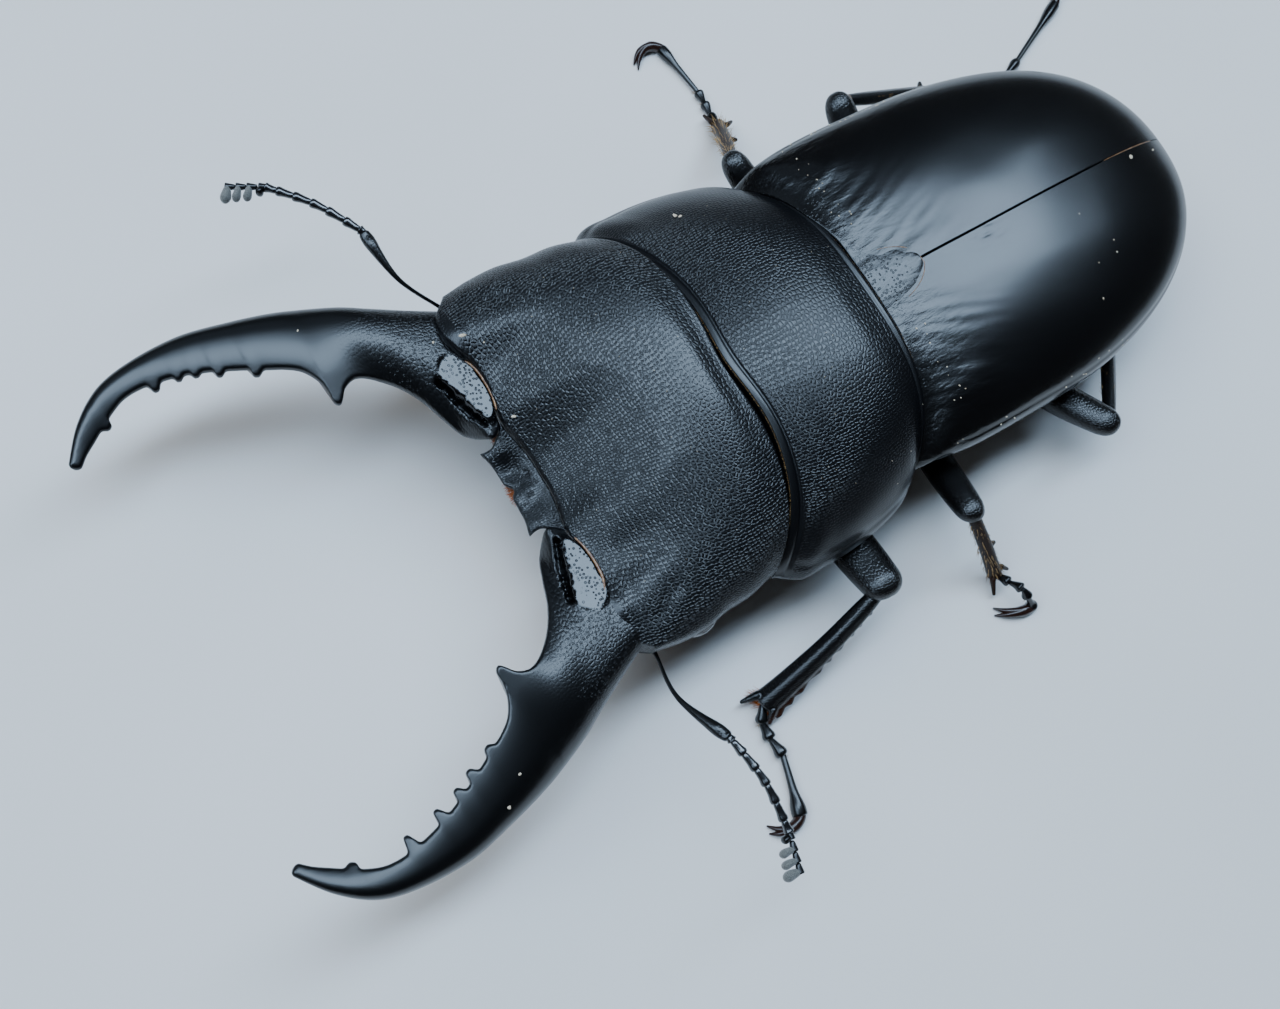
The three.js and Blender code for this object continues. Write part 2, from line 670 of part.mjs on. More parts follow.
function makeAntennae() {
  for (const [name, { root, rise, elbow, lash, tip }] of Object.entries(antennae)) {
    add(`antenna_scape_${name}`, limb(
      [root, rise, elbow],
      profile(0.4, 0.32, 0.36, 0.48, 0.72),
      profile(0.4, 0.32, 0.36, 0.48, 0.72),
      { stations: 6, sides: 6 },
    ), 'limb');
    const between = (a, b, t) => a.map((value, i) => THREE.MathUtils.lerp(value, b[i], t));
    const start = between(elbow, lash[0], 0.14);
    const bead = (count, thin, thick) => (t) => {
      const place = t * count;
      return THREE.MathUtils.lerp(thin, thick, place - Math.floor(place - 1e-6));
    };
    add(`antenna_lash_${name}`, limb(
      [start, lash[0], between(lash[0], lash[1], 0.92)],
      bead(6, 0.33, 0.5),
      bead(6, 0.33, 0.46),
      { stations: 12, sides: 5 },
    ), 'limb');
    const stem = limb(
      [between(lash[0], lash[1], 1.03), between(lash[1], tip, 0.5), tip],
      profile(0.38, 0.42, 0.4),
      profile(0.38, 0.42, 0.4),
      { stations: 2, sides: 5 },
    );
    const side = new THREE.Vector3(...tip).sub(new THREE.Vector3(...lash[1]));
    side.cross(new THREE.Vector3(0, 0, 1)).normalize();
    const lobes = [0.25, 0.52, 0.8].map((place) => {
      const foot = new THREE.Vector3(...between(lash[1], tip, place));
      const reach = foot.clone().addScaledVector(side, -1.5);
      return limb([foot.toArray(), reach.toArray()], profile(0.4, 0.34), profile(0.5, 0.4), {
        stations: 1, sides: 4,
      });
    });
    add(`antenna_club_${name}`, lobes.reduce((body, lobe) => body.add(lobe), stem), 'club');
  }
}

// ---- The whole beetle ----

makePronotum();
makeHeadAndEyes();
for (const [name, side] of Object.entries(sides)) makeMandible(name, side);
makeMouth();
makeWingCases(makeScutellum());
makeUnderside(makeLegs());
makeAntennae();

const bounds = new THREE.Box3().setFromObject(beetle);
const middle = bounds.getCenter(new THREE.Vector3());
beetle.position.set(-middle.x, -middle.y, -bounds.min.z);

export default beetle;
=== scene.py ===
"""A giant stag beetle at life size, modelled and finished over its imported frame.

The beetle's own measures are millimetres: X to its left, Y backwards and Z up, around the middle of
the joint between pronotum and wing cases, with Z = 0 at its side margins.
"""

import logging
import math
import random
from dataclasses import dataclass, field
from enum import Enum
from typing import Callable, Iterable, Optional, Sequence

import bpy
from mathutils import Matrix, Quaternion, Vector, noise
from mathutils.bvhtree import BVHTree


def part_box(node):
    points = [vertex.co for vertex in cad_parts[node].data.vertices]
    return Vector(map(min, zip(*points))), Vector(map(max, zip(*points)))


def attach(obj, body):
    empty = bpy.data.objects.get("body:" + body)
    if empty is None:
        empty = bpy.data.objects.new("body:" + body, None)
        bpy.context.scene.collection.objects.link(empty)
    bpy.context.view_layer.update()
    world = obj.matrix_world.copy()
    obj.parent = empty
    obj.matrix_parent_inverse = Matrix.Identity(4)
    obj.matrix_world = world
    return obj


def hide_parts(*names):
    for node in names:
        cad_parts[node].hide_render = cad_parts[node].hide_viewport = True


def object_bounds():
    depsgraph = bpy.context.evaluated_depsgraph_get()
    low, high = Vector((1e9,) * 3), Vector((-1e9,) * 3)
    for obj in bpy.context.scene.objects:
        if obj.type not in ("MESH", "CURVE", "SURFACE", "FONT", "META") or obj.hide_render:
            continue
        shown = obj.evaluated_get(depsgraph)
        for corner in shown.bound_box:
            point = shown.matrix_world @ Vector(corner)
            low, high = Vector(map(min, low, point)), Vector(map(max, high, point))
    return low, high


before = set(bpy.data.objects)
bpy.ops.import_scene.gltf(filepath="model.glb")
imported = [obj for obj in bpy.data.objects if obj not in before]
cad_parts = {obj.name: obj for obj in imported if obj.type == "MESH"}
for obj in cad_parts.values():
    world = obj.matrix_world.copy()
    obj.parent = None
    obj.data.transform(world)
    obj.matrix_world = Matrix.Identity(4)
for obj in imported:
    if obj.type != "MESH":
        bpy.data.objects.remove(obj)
packed_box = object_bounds()

MM = 0.001
GROUND = -9.6  # height of the ground below the side margins
SOLE = -9.15  # height of a foot's middle line
TOUCH = 0.03 * MM  # a place nearer than this to a surface counts as on it
SIDES = {"left": 1, "right": -1}

Measure = Callable[[float], float]
Spot = Callable[[float, float], float]
Solid = Callable[[float, float, float], float]
Place = Callable[[float, float], Sequence[float]]

log = logging.getLogger("beetle")


# ---- Curves ----


def lerp(start: float, end: float, t: float) -> float:
    """Goes from start to end as t goes from 0 to 1."""
    return start + (end - start) * t


def dome(t: float, power: float) -> float:
    """A superellipse arc: 1 in the middle, 0 at t = -1 and t = 1."""
    return (1 - min(1, abs(t)) ** power) ** (1 / power)


def vault(t: float) -> float:
    """A flatter arch with shallow edges: 1 in the middle, 0 at t = -1 and t = 1."""
    return (1 - min(1, abs(t)) ** 2.4) ** 0.6


def soft(t: float, start: float, end: float) -> float:
    """A soft step from 0 to 1 while t goes from start to end."""
    s = min(1, max(0, (t - start) / (end - start)))
    return s * s * (3 - 2 * s)


def hill(t: float, middle: float, width: float) -> float:
    """A smooth hill of height 1 around middle."""
    return math.exp(-(((t - middle) / width) ** 2))


def lip(depth: float, radius: float) -> float:
    """A rounded edge: 0 on the edge itself, 1 from radius inwards."""
    s = 1 - min(1, max(0, depth / radius))
    return math.sqrt(max(0, 1 - s * s))


def ease(t: float, strength: float = 0.85) -> float:
    """Draws the steps of t, from -1 to 1, closer together towards both ends."""
    turn = strength * math.pi / 2
    return math.sin(turn * t) / math.sin(turn)


def crowd(t: float) -> float:
    """Draws the steps of t, from 0 to 1, closer together towards both ends."""
    return 0.5 + 0.5 * ease(2 * t - 1)


def boxy(value: float, power: float = 0.8) -> float:
    """Makes a round section fuller towards its corners."""
    return math.copysign(abs(value) ** power, value)


def from_line(x: float, y: float, start: Sequence[float], end: Sequence[float]) -> float:
    """The distance of a place from a stretch of straight line.

    Args:
        x: The place's X.
        y: The place's Y.
        start: Where the stretch starts.
        end: Where it ends.

    Returns:
        The distance in the units of the places.
    """
    ax, ay = x - start[0], y - start[1]
    bx, by = end[0] - start[0], end[1] - start[1]
    t = min(1, max(0, (ax * bx + ay * by) / (bx * bx + by * by)))
    return math.hypot(ax - t * bx, ay - t * by)


class Path:
    """A smooth line through points of any number of dimensions."""

    def __init__(self, points: Iterable[Sequence[float]]) -> None:
        """Keeps the points as vectors."""
        self.points = [Vector(point) for point in points]

    def at(self, t: float) -> Vector:
        """The place at t, which runs from 0 to 1 with equal shares between the points."""
        last = len(self.points) - 1
        span = min(1, max(0, t)) * last
        i = min(int(span), last - 1)
        f = span - i
        a, b = self.points[max(i - 1, 0)], self.points[i]
        c, d = self.points[i + 1], self.points[min(i + 2, last)]
        bend = (2 * a - 5 * b + 4 * c - d) * f * f + (3 * b - a - 3 * c + d) * f ** 3
        return (2 * b + (c - a) * f + bend) / 2

    def heading(self, t: float) -> Vector:
        """The direction of the line at t."""
        return (self.at(min(1, t + 0.01)) - self.at(max(0, t - 0.01))).normalized()

    def length(self) -> float:
        """The length of the line."""
        places = [self.at(i / 40) for i in range(41)]
        return sum((b - a).length for a, b in zip(places, places[1:]))


def profile(*values: float) -> Measure:
    """A smooth curve through evenly spaced values, read at t from 0 to 1."""
    line = Path([(value, 0) for value in values])
    return lambda t: line.at(t).x


# ---- Modelling ----


class Bench:
    """The modelling moves that the pieces share, and the place of the beetle in the frame."""

    def __init__(self) -> None:
        """Finds the beetle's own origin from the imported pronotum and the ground."""
        low, high = (Vector(corner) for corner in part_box("pronotum"))
        rear_edge = Pronotum.rear * MM
        self.origin = Vector(((low.x + high.x) / 2, high.y - rear_edge, packed_box[0][2] - GROUND * MM))

    def at(self, place: Sequence[float]) -> Vector:
        """A place in the beetle's own millimetres, as a place in the frame."""
        return self.origin + MM * Vector(place)

    def clear(self) -> None:
        """Deselects everything."""
        for item in bpy.context.selected_objects:
            item.select_set(False)

    def pick(self, *pieces: bpy.types.Object) -> None:
        """Selects these pieces alone, with the first one active."""
        self.clear()
        for piece in pieces:
            piece.select_set(True)
        bpy.context.view_layer.objects.active = pieces[0]

    def lay(self, name: str, across: int, along: int, place: Place) -> bpy.types.Object:
        """Adds a grid and lays it over a form.

        Args:
            name: The name of the piece.
            across: How many faces the grid has across.
            along: How many it has along.
            place: Gives a place in the beetle's millimetres for u from -1 to 1 and v from 0 to 1.

        Returns:
            The piece.
        """
        self.clear()
        bpy.ops.mesh.primitive_grid_add(x_subdivisions=across, y_subdivisions=along, size=2)
        piece = bpy.context.object
        piece.name = piece.data.name = name
        for vertex in piece.data.vertices:
            vertex.co = self.at(place(vertex.co.x, (vertex.co.y + 1) / 2))
        return piece

    def own(self, place: Vector) -> Vector:
        """A place in the frame, as a place in the beetle's own millimetres."""
        return (place - self.origin) / MM

    def mark(self, piece: bpy.types.Object, **marks: Solid) -> bpy.types.Object:
        """Stores values for the finish on a piece's points.

        Args:
            piece: The piece.
            marks: For each name, a value from a point's own X, Y and Z.

        Returns:
            The same piece.
        """
        places = [self.own(vertex.co) for vertex in piece.data.vertices]
        for name, value in marks.items():
            layer = piece.data.attributes.new(name, "FLOAT", "POINT")
            layer.data.foreach_set("value", [value(*place) for place in places])
        return piece

    def press(self, piece: bpy.types.Object, rise: Solid) -> bpy.types.Object:
        """Moves a piece's points up or down.

        Args:
            piece: The piece.
            rise: Gives the move in millimetres from a point's own X, Y and Z.

        Returns:
            The same piece.
        """
        for vertex in piece.data.vertices:
            vertex.co.z += rise(*self.own(vertex.co)) * MM
        return piece

    def melt(self, piece: bpy.types.Object, voxel: float, rounds: int) -> bpy.types.Object:
        """Merges overlapping forms into one skin and softens the seams.

        Args:
            piece: The piece, of closed forms that overlap.
            voxel: The size of the new faces in millimetres.
            rounds: How often the skin is smoothed.

        Returns:
            The same piece.
        """
        self.pick(piece)
        skin = piece.modifiers.new("skin", "REMESH")
        skin.mode = "VOXEL"
        skin.voxel_size = voxel * MM
        bpy.ops.object.modifier_apply(modifier=skin.name)
        soften = piece.modifiers.new("soften", "SMOOTH")
        soften.factor = 0.5
        soften.iterations = rounds
        bpy.ops.object.modifier_apply(modifier=soften.name)
        self.pick(piece)
        bpy.ops.object.shade_smooth()
        return piece

    def join(self, *pieces: bpy.types.Object) -> bpy.types.Object:
        """Joins pieces into the first of them."""
        if len(pieces) > 1:
            self.pick(*pieces)
            bpy.ops.object.join()
        return pieces[0]

    def weld(self, piece: bpy.types.Object, closed: bool = True) -> bpy.types.Object:
        """Merges the points that meet, closes what is open and turns the faces outwards.

        Args:
            piece: The piece.
            closed: Whether open edges are filled.

        Returns:
            The same piece.
        """
        self.pick(piece)
        bpy.ops.object.mode_set(mode="EDIT")
        bpy.ops.mesh.select_all(action="SELECT")
        bpy.ops.mesh.remove_doubles(threshold=0.002 * MM)
        if closed:
            bpy.ops.mesh.select_all(action="DESELECT")
            bpy.ops.mesh.select_non_manifold(extend=False)
            bpy.ops.mesh.fill_holes(sides=0)
        bpy.ops.mesh.select_all(action="SELECT")
        bpy.ops.mesh.normals_make_consistent(inside=False)
        bpy.ops.object.mode_set(mode="OBJECT")
        bpy.ops.object.shade_smooth()
        return piece

    def plate(
        self, name: str, grid: tuple[int, int], plan: Place, top: Spot, bottom: Spot, edge: float = 0.3,
        tuck: float = 0.0,
    ) -> bpy.types.Object:
        """A closed plate with rounded edges, from an upper and a lower surface over one outline.

        Args:
            name: The name of the piece.
            grid: How many faces it has across and along.
            plan: Gives X and Y from u and v.
            top: Gives the height of the upper surface from u and v.
            bottom: Gives the height of the lower surface.
            edge: The radius of the upper edge in millimetres.
            tuck: How far the walls lean inwards at their foot.

        Returns:
            The piece.
        """
        ends = [Vector(plan(0, 0)), Vector(plan(0, 1)), Vector(plan(-1, 0.5)), Vector(plan(1, 0.5))]
        length = (ends[1] - ends[0]).length
        half = (ends[3] - ends[2]).length / 2
        wall = 0.93  # the share of the grid that is not spent on the walls

        def spot(u: float, v: float) -> tuple[float, float, float]:
            """Where a point of the grid lies on the outline, and how far down the wall."""
            w = 2 * v - 1
            out = max(abs(u), abs(w))
            stretch = 1 / max(out, wall)
            return ease(u * stretch), (ease(w * stretch) + 1) / 2, max(0, (out - wall) / (1 - wall))

        def tucked(u: float, v: float, down: float) -> Sequence[float]:
            """X and Y drawn inwards as the wall goes down."""
            return plan(u * (1 - tuck / half * down), 0.5 + (v - 0.5) * (1 - 2 * tuck / length * down))

        def upper(u: float, v: float) -> tuple[float, ...]:
            """The upper surface and the walls."""
            u, v, down = spot(u, v)
            depth = min((1 - abs(u)) * half, v * length, (1 - v) * length)
            high = top(u, v) - edge * (1 - lip(depth, edge))
            return (*tucked(u, v, down), lerp(high, bottom(u, v), down))

        def lower(u: float, v: float) -> tuple[float, ...]:
            """The lower surface, on the same edge as the walls."""
            u, v, _ = spot(u, v)
            return (*tucked(u, v, 1), bottom(u, v))

        under = self.lay(f"{name}_lower", *grid, lower)
        return self.weld(self.join(self.lay(name, *grid, upper), under))

    def cut(self, piece: bpy.types.Object, cutter: bpy.types.Object) -> bpy.types.Object:
        """Cuts a piece by another, which is used up, and leaves nothing of it outside the piece."""
        points = [vertex.co.copy() for vertex in piece.data.vertices]
        whole = BVHTree.FromPolygons(points, [face.vertices[:] for face in piece.data.polygons])
        self.pick(piece)
        knife = piece.modifiers.new("cut", "BOOLEAN")
        knife.operation = "DIFFERENCE"
        knife.solver = "EXACT"
        knife.object = cutter
        bpy.ops.object.modifier_apply(modifier=knife.name)
        bpy.data.objects.remove(cutter)
        bpy.ops.object.mode_set(mode="EDIT")
        bpy.ops.mesh.select_all(action="DESELECT")
        bpy.ops.object.mode_set(mode="OBJECT")
        for vertex in piece.data.vertices:
            spot, normal, _, away = whole.find_nearest(vertex.co)
            vertex.select = away > TOUCH and (vertex.co - spot).dot(normal) > 0
        bpy.ops.object.mode_set(mode="EDIT")
        bpy.ops.mesh.delete(type="VERT")
        bpy.ops.object.mode_set(mode="OBJECT")
        return piece

    def dress(
        self, piece: bpy.types.Object, material: bpy.types.Material, slot: Optional[str], *nodes: str
    ) -> bpy.types.Object:
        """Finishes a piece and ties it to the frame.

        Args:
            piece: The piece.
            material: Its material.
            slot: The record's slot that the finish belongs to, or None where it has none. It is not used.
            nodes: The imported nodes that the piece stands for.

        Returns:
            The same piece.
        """
        self.fit(piece)
        piece.data.materials.clear()
        piece.data.materials.append(material)
        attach(piece, "root")
        if nodes:
            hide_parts(*nodes)
            self.compare(piece, nodes)
        else:
            log.info("%s: %d faces", piece.name, len(piece.data.polygons))
        return piece

    def fit(self, piece: bpy.types.Object) -> None:
        """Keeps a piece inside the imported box, so that soles and claws rest flat on the ground."""
        low, high = packed_box
        for vertex in piece.data.vertices:
            for axis in range(3):
                vertex.co[axis] = min(high[axis], max(low[axis], vertex.co[axis]))

    def surface(self, piece: bpy.types.Object, x: float, y: float) -> tuple[Vector, Vector]:
        """The highest place of a piece at X and Y, in its own millimetres, and its normal."""
        hit, place, normal, _ = piece.ray_cast(self.at((x, y, 30)), Vector((0, 0, -1)))
        return (self.own(place), normal) if hit else (Vector((x, y, 0)), Vector((0, 0, 1)))

    def compare(self, piece: bpy.types.Object, nodes: Sequence[str]) -> None:
        """Reports how far a piece's box departs from the box of the nodes it replaces."""
        corners = [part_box(node) for node in nodes]
        own = [vertex.co for vertex in piece.data.vertices]
        gaps = []
        for axis in range(3):
            low = min(co[axis] for co in own) - min(corner[0][axis] for corner in corners)
            high = max(co[axis] for co in own) - max(corner[1][axis] for corner in corners)
            gaps.append(f"{low / MM:+.1f}/{high / MM:+.1f}")
        log.info("%s: %d faces, box against the frame %s", piece.name, len(own), " ".join(gaps))


@dataclass
class Limb:
    """A rounded limb along a smooth line: half its width lies level and half its depth upright."""

    points: Sequence[Sequence[float]]
    width: Measure
    depth: Measure
    up: Sequence[float] = (0, 0, 1)
    start_round: float = 0.3
    end_round: float = 0.3
    fullness: float = 1.0
    relief: Spot = lambda t, turn: 0.0
    frames: dict[float, tuple[Vector, Vector, Vector, float]] = field(default_factory=dict)

    def __post_init__(self) -> None:
        """Measures the line."""
        self.path = Path(self.points)
        self.reach = self.path.length()

    def station(self, t: float) -> tuple[Vector, Vector, Vector, float]:
        """The middle, the level and the upright direction, and the share of thickness at t."""
        if t not in self.frames:
            along = self.path.heading(t)
            level = Vector(self.up).cross(along).normalized()
            share = lip(t * self.reach, self.start_round) * lip((1 - t) * self.reach, self.end_round)
            self.frames[t] = (self.path.at(t), level, along.cross(level), share)
        return self.frames[t]

    def skin(self, t: float, turn: float) -> Vector:
        """The place on the limb's surface at t and at an angle round it."""
        middle, level, upright, share = self.station(t)
        swell = share * (1 + self.relief(t, turn))
        width = self.width(t) * swell * boxy(math.cos(turn), self.fullness)
        depth = self.depth(t) * swell * boxy(math.sin(turn), self.fullness)
        return middle + level * width + upright * depth

    def lay(self, bench: Bench, name: str, across: int = 16, along: int = 24) -> bpy.types.Object:
        """Models the limb.

        Args:
            bench: The bench to model on.
            name: The name of the piece.
            across: How many faces go round the limb.
            along: How many go along it.

        Returns:
            The welded piece.
        """
        place = lambda u, v: self.skin(crowd(v), math.pi * (u + 1))
        return bench.weld(bench.lay(name, across, along, place), closed=False)


# ---- Shader building ----


class Number:
    """A number on a node's socket. Python's operators on it add Math nodes."""

    def __init__(self, shader: "Shader", socket: bpy.types.NodeSocket) -> None:
        """Keeps the shader and the socket."""
        self.shader = shader
        self.socket = socket

    def math(self, operation: str, first: object, second: object) -> "Number":
        """Adds a Math node."""
        node = self.shader.node("ShaderNodeMath", {"operation": operation}, {0: first, 1: second})
        return Number(self.shader, node.outputs[0])

    def __add__(self, other: object) -> "Number":
        """self + other."""
        return self.math("ADD", self, other)

    __radd__ = __add__

    def __sub__(self, other: object) -> "Number":
        """self - other."""
        return self.math("SUBTRACT", self, other)

    def __rsub__(self, other: object) -> "Number":
        """other - self."""
        return self.math("SUBTRACT", other, self)

    def __mul__(self, other: object) -> "Number":
        """self * other."""
        return self.math("MULTIPLY", self, other)

    __rmul__ = __mul__

    def soft(self, start: float, end: float) -> "Number":
        """A soft step from 0 to 1 while the number goes from start to end."""
        node = self.shader.node(
            "ShaderNodeMapRange",
            {"interpolation_type": "SMOOTHSTEP"},
            {"Value": self, "From Min": start, "From Max": end},
        )
        return Number(self.shader, node.outputs[0])


class Shader:
    """A material's node tree under construction."""

    def __init__(self, name: str) -> None:
        """Starts a material with a Principled shader."""
        self.material = bpy.data.materials.new(name)
        self.material.use_nodes = True
        self.tree = self.material.node_tree
        self.surface = self.tree.nodes["Principled BSDF"]
        self.place = self.node("ShaderNodeTexCoord", {}, {}).outputs["Object"]

    def node(self, kind: str, settings: dict[str, object], inputs: dict[object, object]) -> bpy.types.Node:
        """Adds a node.

        Args:
            kind: The node's type.
            settings: Its settings, such as an operation.
            inputs: Values or links of its sockets, by name or number.

        Returns:
            The node.
        """
        node = self.tree.nodes.new(kind)
        for name, value in settings.items():
            setattr(node, name, value)
        for name, value in inputs.items():
            self.feed(node.inputs[name], value)
        return node

    def feed(self, socket: bpy.types.NodeSocket, value: object) -> None:
        """Sets a socket's value or links it."""
        if isinstance(value, Number):
            value = value.socket
        if isinstance(value, bpy.types.NodeSocket):
            self.tree.links.new(value, socket)
        else:
            socket.default_value = value

    def mark(self, name: str) -> Number:
        """A value that the piece carries, 0 where it has none."""
        node = self.node("ShaderNodeAttribute", {"attribute_name": name}, {})
        return Number(self, node.outputs["Fac"])

    def stretched(self, scale: Sequence[float]) -> bpy.types.NodeSocket:
        """Object coordinates scaled along each axis."""
        return self.node("ShaderNodeMapping", {}, {"Vector": self.place, "Scale": scale}).outputs[0]

    def cloud(self, size: float, detail: float = 2, scale: Sequence[float] = (1, 1, 1)) -> Number:
        """A soft random pattern.

        Args:
            size: The size of its spots in millimetres.
            detail: How much finer detail it has.
            scale: How it is squeezed along each axis.

        Returns:
            A number from 0 to 1.
        """
        inputs = {"Vector": self.stretched(scale), "Scale": 1 / (size * MM), "Detail": detail}
        return Number(self, self.node("ShaderNodeTexNoise", {}, inputs).outputs[0])

    def unfolded(self, top: float = 0.0155, ridge: float = 0.009) -> bpy.types.NodeSocket:
        """Object coordinates laid out flat, so that steep sides keep their full length."""
        parts = self.node("ShaderNodeSeparateXYZ", {}, {"Vector": self.place})
        x, y, z = (Number(self, socket) for socket in parts.outputs)
        side, drop = x.soft(-ridge, ridge) * 2 - 1, z - top
        flat = {"X": x - side * drop, "Y": y + drop * 0.5}
        return self.node("ShaderNodeCombineXYZ", {}, flat).outputs[0]

    def pebbles(self, size: float) -> Number:
        """Round pebbles of a size in millimetres, from 0 in the creases to 1."""
        settings = {"voronoi_dimensions": "2D", "feature": "DISTANCE_TO_EDGE"}
        inputs = {"Vector": self.unfolded(), "Scale": 1 / (size * MM), "Randomness": 0.72}
        node = self.node("ShaderNodeTexVoronoi", settings, inputs)
        return Number(self, node.outputs["Distance"]).soft(0.0, 0.32)

    def holes(self, size: float, start: float, end: float) -> Number:
        """Round holes of a size in millimetres: 1 nearer to a middle than start, 0 beyond end."""
        inputs = {"Vector": self.place, "Scale": 1 / (size * MM), "Randomness": 0.72}
        node = self.node("ShaderNodeTexVoronoi", {"feature": "F1"}, inputs)
        return 1 - Number(self, node.outputs["Distance"]).soft(start, end)

    def blend(self, factor: object, first: object, second: object) -> bpy.types.NodeSocket:
        """Mixes two colours."""
        node = self.node("ShaderNodeMix", {"data_type": "RGBA"}, {0: factor, 6: first, 7: second})
        return node.outputs[2]

    def relief(self, height: Number, strength: float = 1.0) -> None:
        """Bumps the surface by a height in millimetres."""
        node = self.node("ShaderNodeBump", {}, {"Height": height, "Distance": MM, "Strength": strength})
        self.feed(self.surface.inputs["Normal"], node.outputs[0])

    def finish(self, **values: object) -> bpy.types.Material:
        """Feeds the Principled shader by socket names, with _ for blanks."""
        for name, value in values.items():
            self.feed(self.surface.inputs[name.replace("_", " ")], value)
        return self.material


Colour = tuple[float, float, float, float]


@dataclass(frozen=True)
class Chitin:
    """Hard black insect shell.

    The marks grain, polish, pits, wrinkle and warm on a piece raise its pebbled grain, its mirror
    gloss, its punctures, its fine wrinkles and its brown tint.
    """

    name: str
    black: Colour
    brown: Colour
    roughness: float
    grain: float  # height of the pebbles, mm
    grain_size: float = 0.37
    haze: float = 0.03  # how much the roughness wanders
    coat: float = 0.1
    fuzz: float = 0.0015  # height of the finest unevenness, mm
    ior: float = 1.55

    def make(self) -> bpy.types.Material:
        """Builds the material."""
        shader = Shader(self.name)
        grain, polish, pitted = shader.mark("grain"), shader.mark("polish"), shader.mark("pits")
        wrinkle, warm = shader.mark("wrinkle"), shader.mark("warm")
        pebbles = shader.pebbles(self.grain_size)
        creases = shader.cloud(0.55, 3, (1.0, 0.35, 1.0)).soft(0.3, 0.7)
        fine = shader.cloud(0.08, 2)
        pits = shader.holes(0.33, 0.25, 0.36) * pitted
        height = pebbles * grain * self.grain
        height = height + creases * wrinkle * 0.022 + fine * self.fuzz
        height = height - pits * 0.07
        shader.relief(height)
        rough = shader.cloud(6, 0) * self.haze + self.roughness
        rough = rough * (1 - polish * 0.45) + pits * 0.3
        return shader.finish(
            Base_Color=shader.blend(warm, self.black, self.brown),
            Roughness=rough,
            IOR=self.ior,
            Coat_Weight=(1 - pits) * self.coat,
            Coat_Roughness=0.12,
        )


@dataclass(frozen=True)
class Plain:
    """A simple mottled finish for eyes, hairs, skin, dust and the painted highlight along the seam."""

    name: str
    colour: Colour
    dark: Colour
    roughness: float
    spot: float = 0.3  # size of the mottling, mm
    bump: float = 0.01
    coat: float = 0.0
    sheen: float = 0.0

    def make(self) -> bpy.types.Material:
        """Builds the material."""
        shader = Shader(self.name)
        mottle = shader.cloud(self.spot, 3)
        shader.relief(mottle * self.bump)
        return shader.finish(
            Base_Color=shader.blend(mottle.soft(0.35, 0.65), self.dark, self.colour),
            Roughness=self.roughness,
            Coat_Weight=self.coat,
            Sheen_Weight=self.sheen,
        )


class Finish(Enum):
    """The finishes of the beetle and its floor."""

    SHELL = Chitin("shell", (0.0022, 0.0026, 0.0036, 1), (0.03, 0.012, 0.006, 1), 0.28, 0.034)
    GLOSS = Chitin("wing_case", (0.0015, 0.0016, 0.002, 1), (0.03, 0.012, 0.006, 1), 0.23, 0.03)
    HORN = Chitin("jaw", (0.0016, 0.0018, 0.0024, 1), (0.05, 0.016, 0.006, 1), 0.28, 0.025, fuzz=0.002)
    LIMB = Chitin("leg", (0.003, 0.0028, 0.003, 1), (0.06, 0.016, 0.006, 1), 0.26, 0.03, 0.28)
    LASH = Chitin("lash", (0.003, 0.003, 0.004, 1), (0.06, 0.018, 0.007, 1), 0.22, 0.01, ior=1.9)
    BROWN = Chitin("shin", (0.006, 0.003, 0.0015, 1), (0.03, 0.011, 0.004, 1), 0.42, 0.03, ior=1.25)
    EYE = Plain("eye", (0.02, 0.008, 0.005, 1), (0.008, 0.004, 0.003, 1), 0.12, 0.1, 0.02, 0.6)
    CLUB = Plain("club", (0.17, 0.175, 0.165, 1), (0.09, 0.094, 0.088, 1), 0.8, 0.1, 0.02, 0, 0.5)
    GOLD = Plain("golden_hair", (0.5, 0.32, 0.13, 1), (0.3, 0.17, 0.06, 1), 0.45)
    AMBER = Plain("orange_hair", (0.55, 0.17, 0.035, 1), (0.34, 0.08, 0.015, 1), 0.45)
    # The skin's colour also paints the highlight along the seam of the wing cases.
    SKIN = Plain("joint_skin_and_seam_highlight", (0.36, 0.2, 0.09, 1), (0.13, 0.05, 0.018, 1), 0.35, 0.3, 0.02, 0.3)
    DUST = Plain("dust", (0.75, 0.68, 0.55, 1), (0.5, 0.4, 0.26, 1), 0.8, 0.1)

    def __init__(self, *_: object) -> None:
        """Starts without a material."""
        self.made: Optional[bpy.types.Material] = None

    @property
    def material(self) -> bpy.types.Material:
        """The finish's material, built when it is first used."""
        if self.made is None:
            self.made = self.value.make()
        return self.made


# ---- The body ----


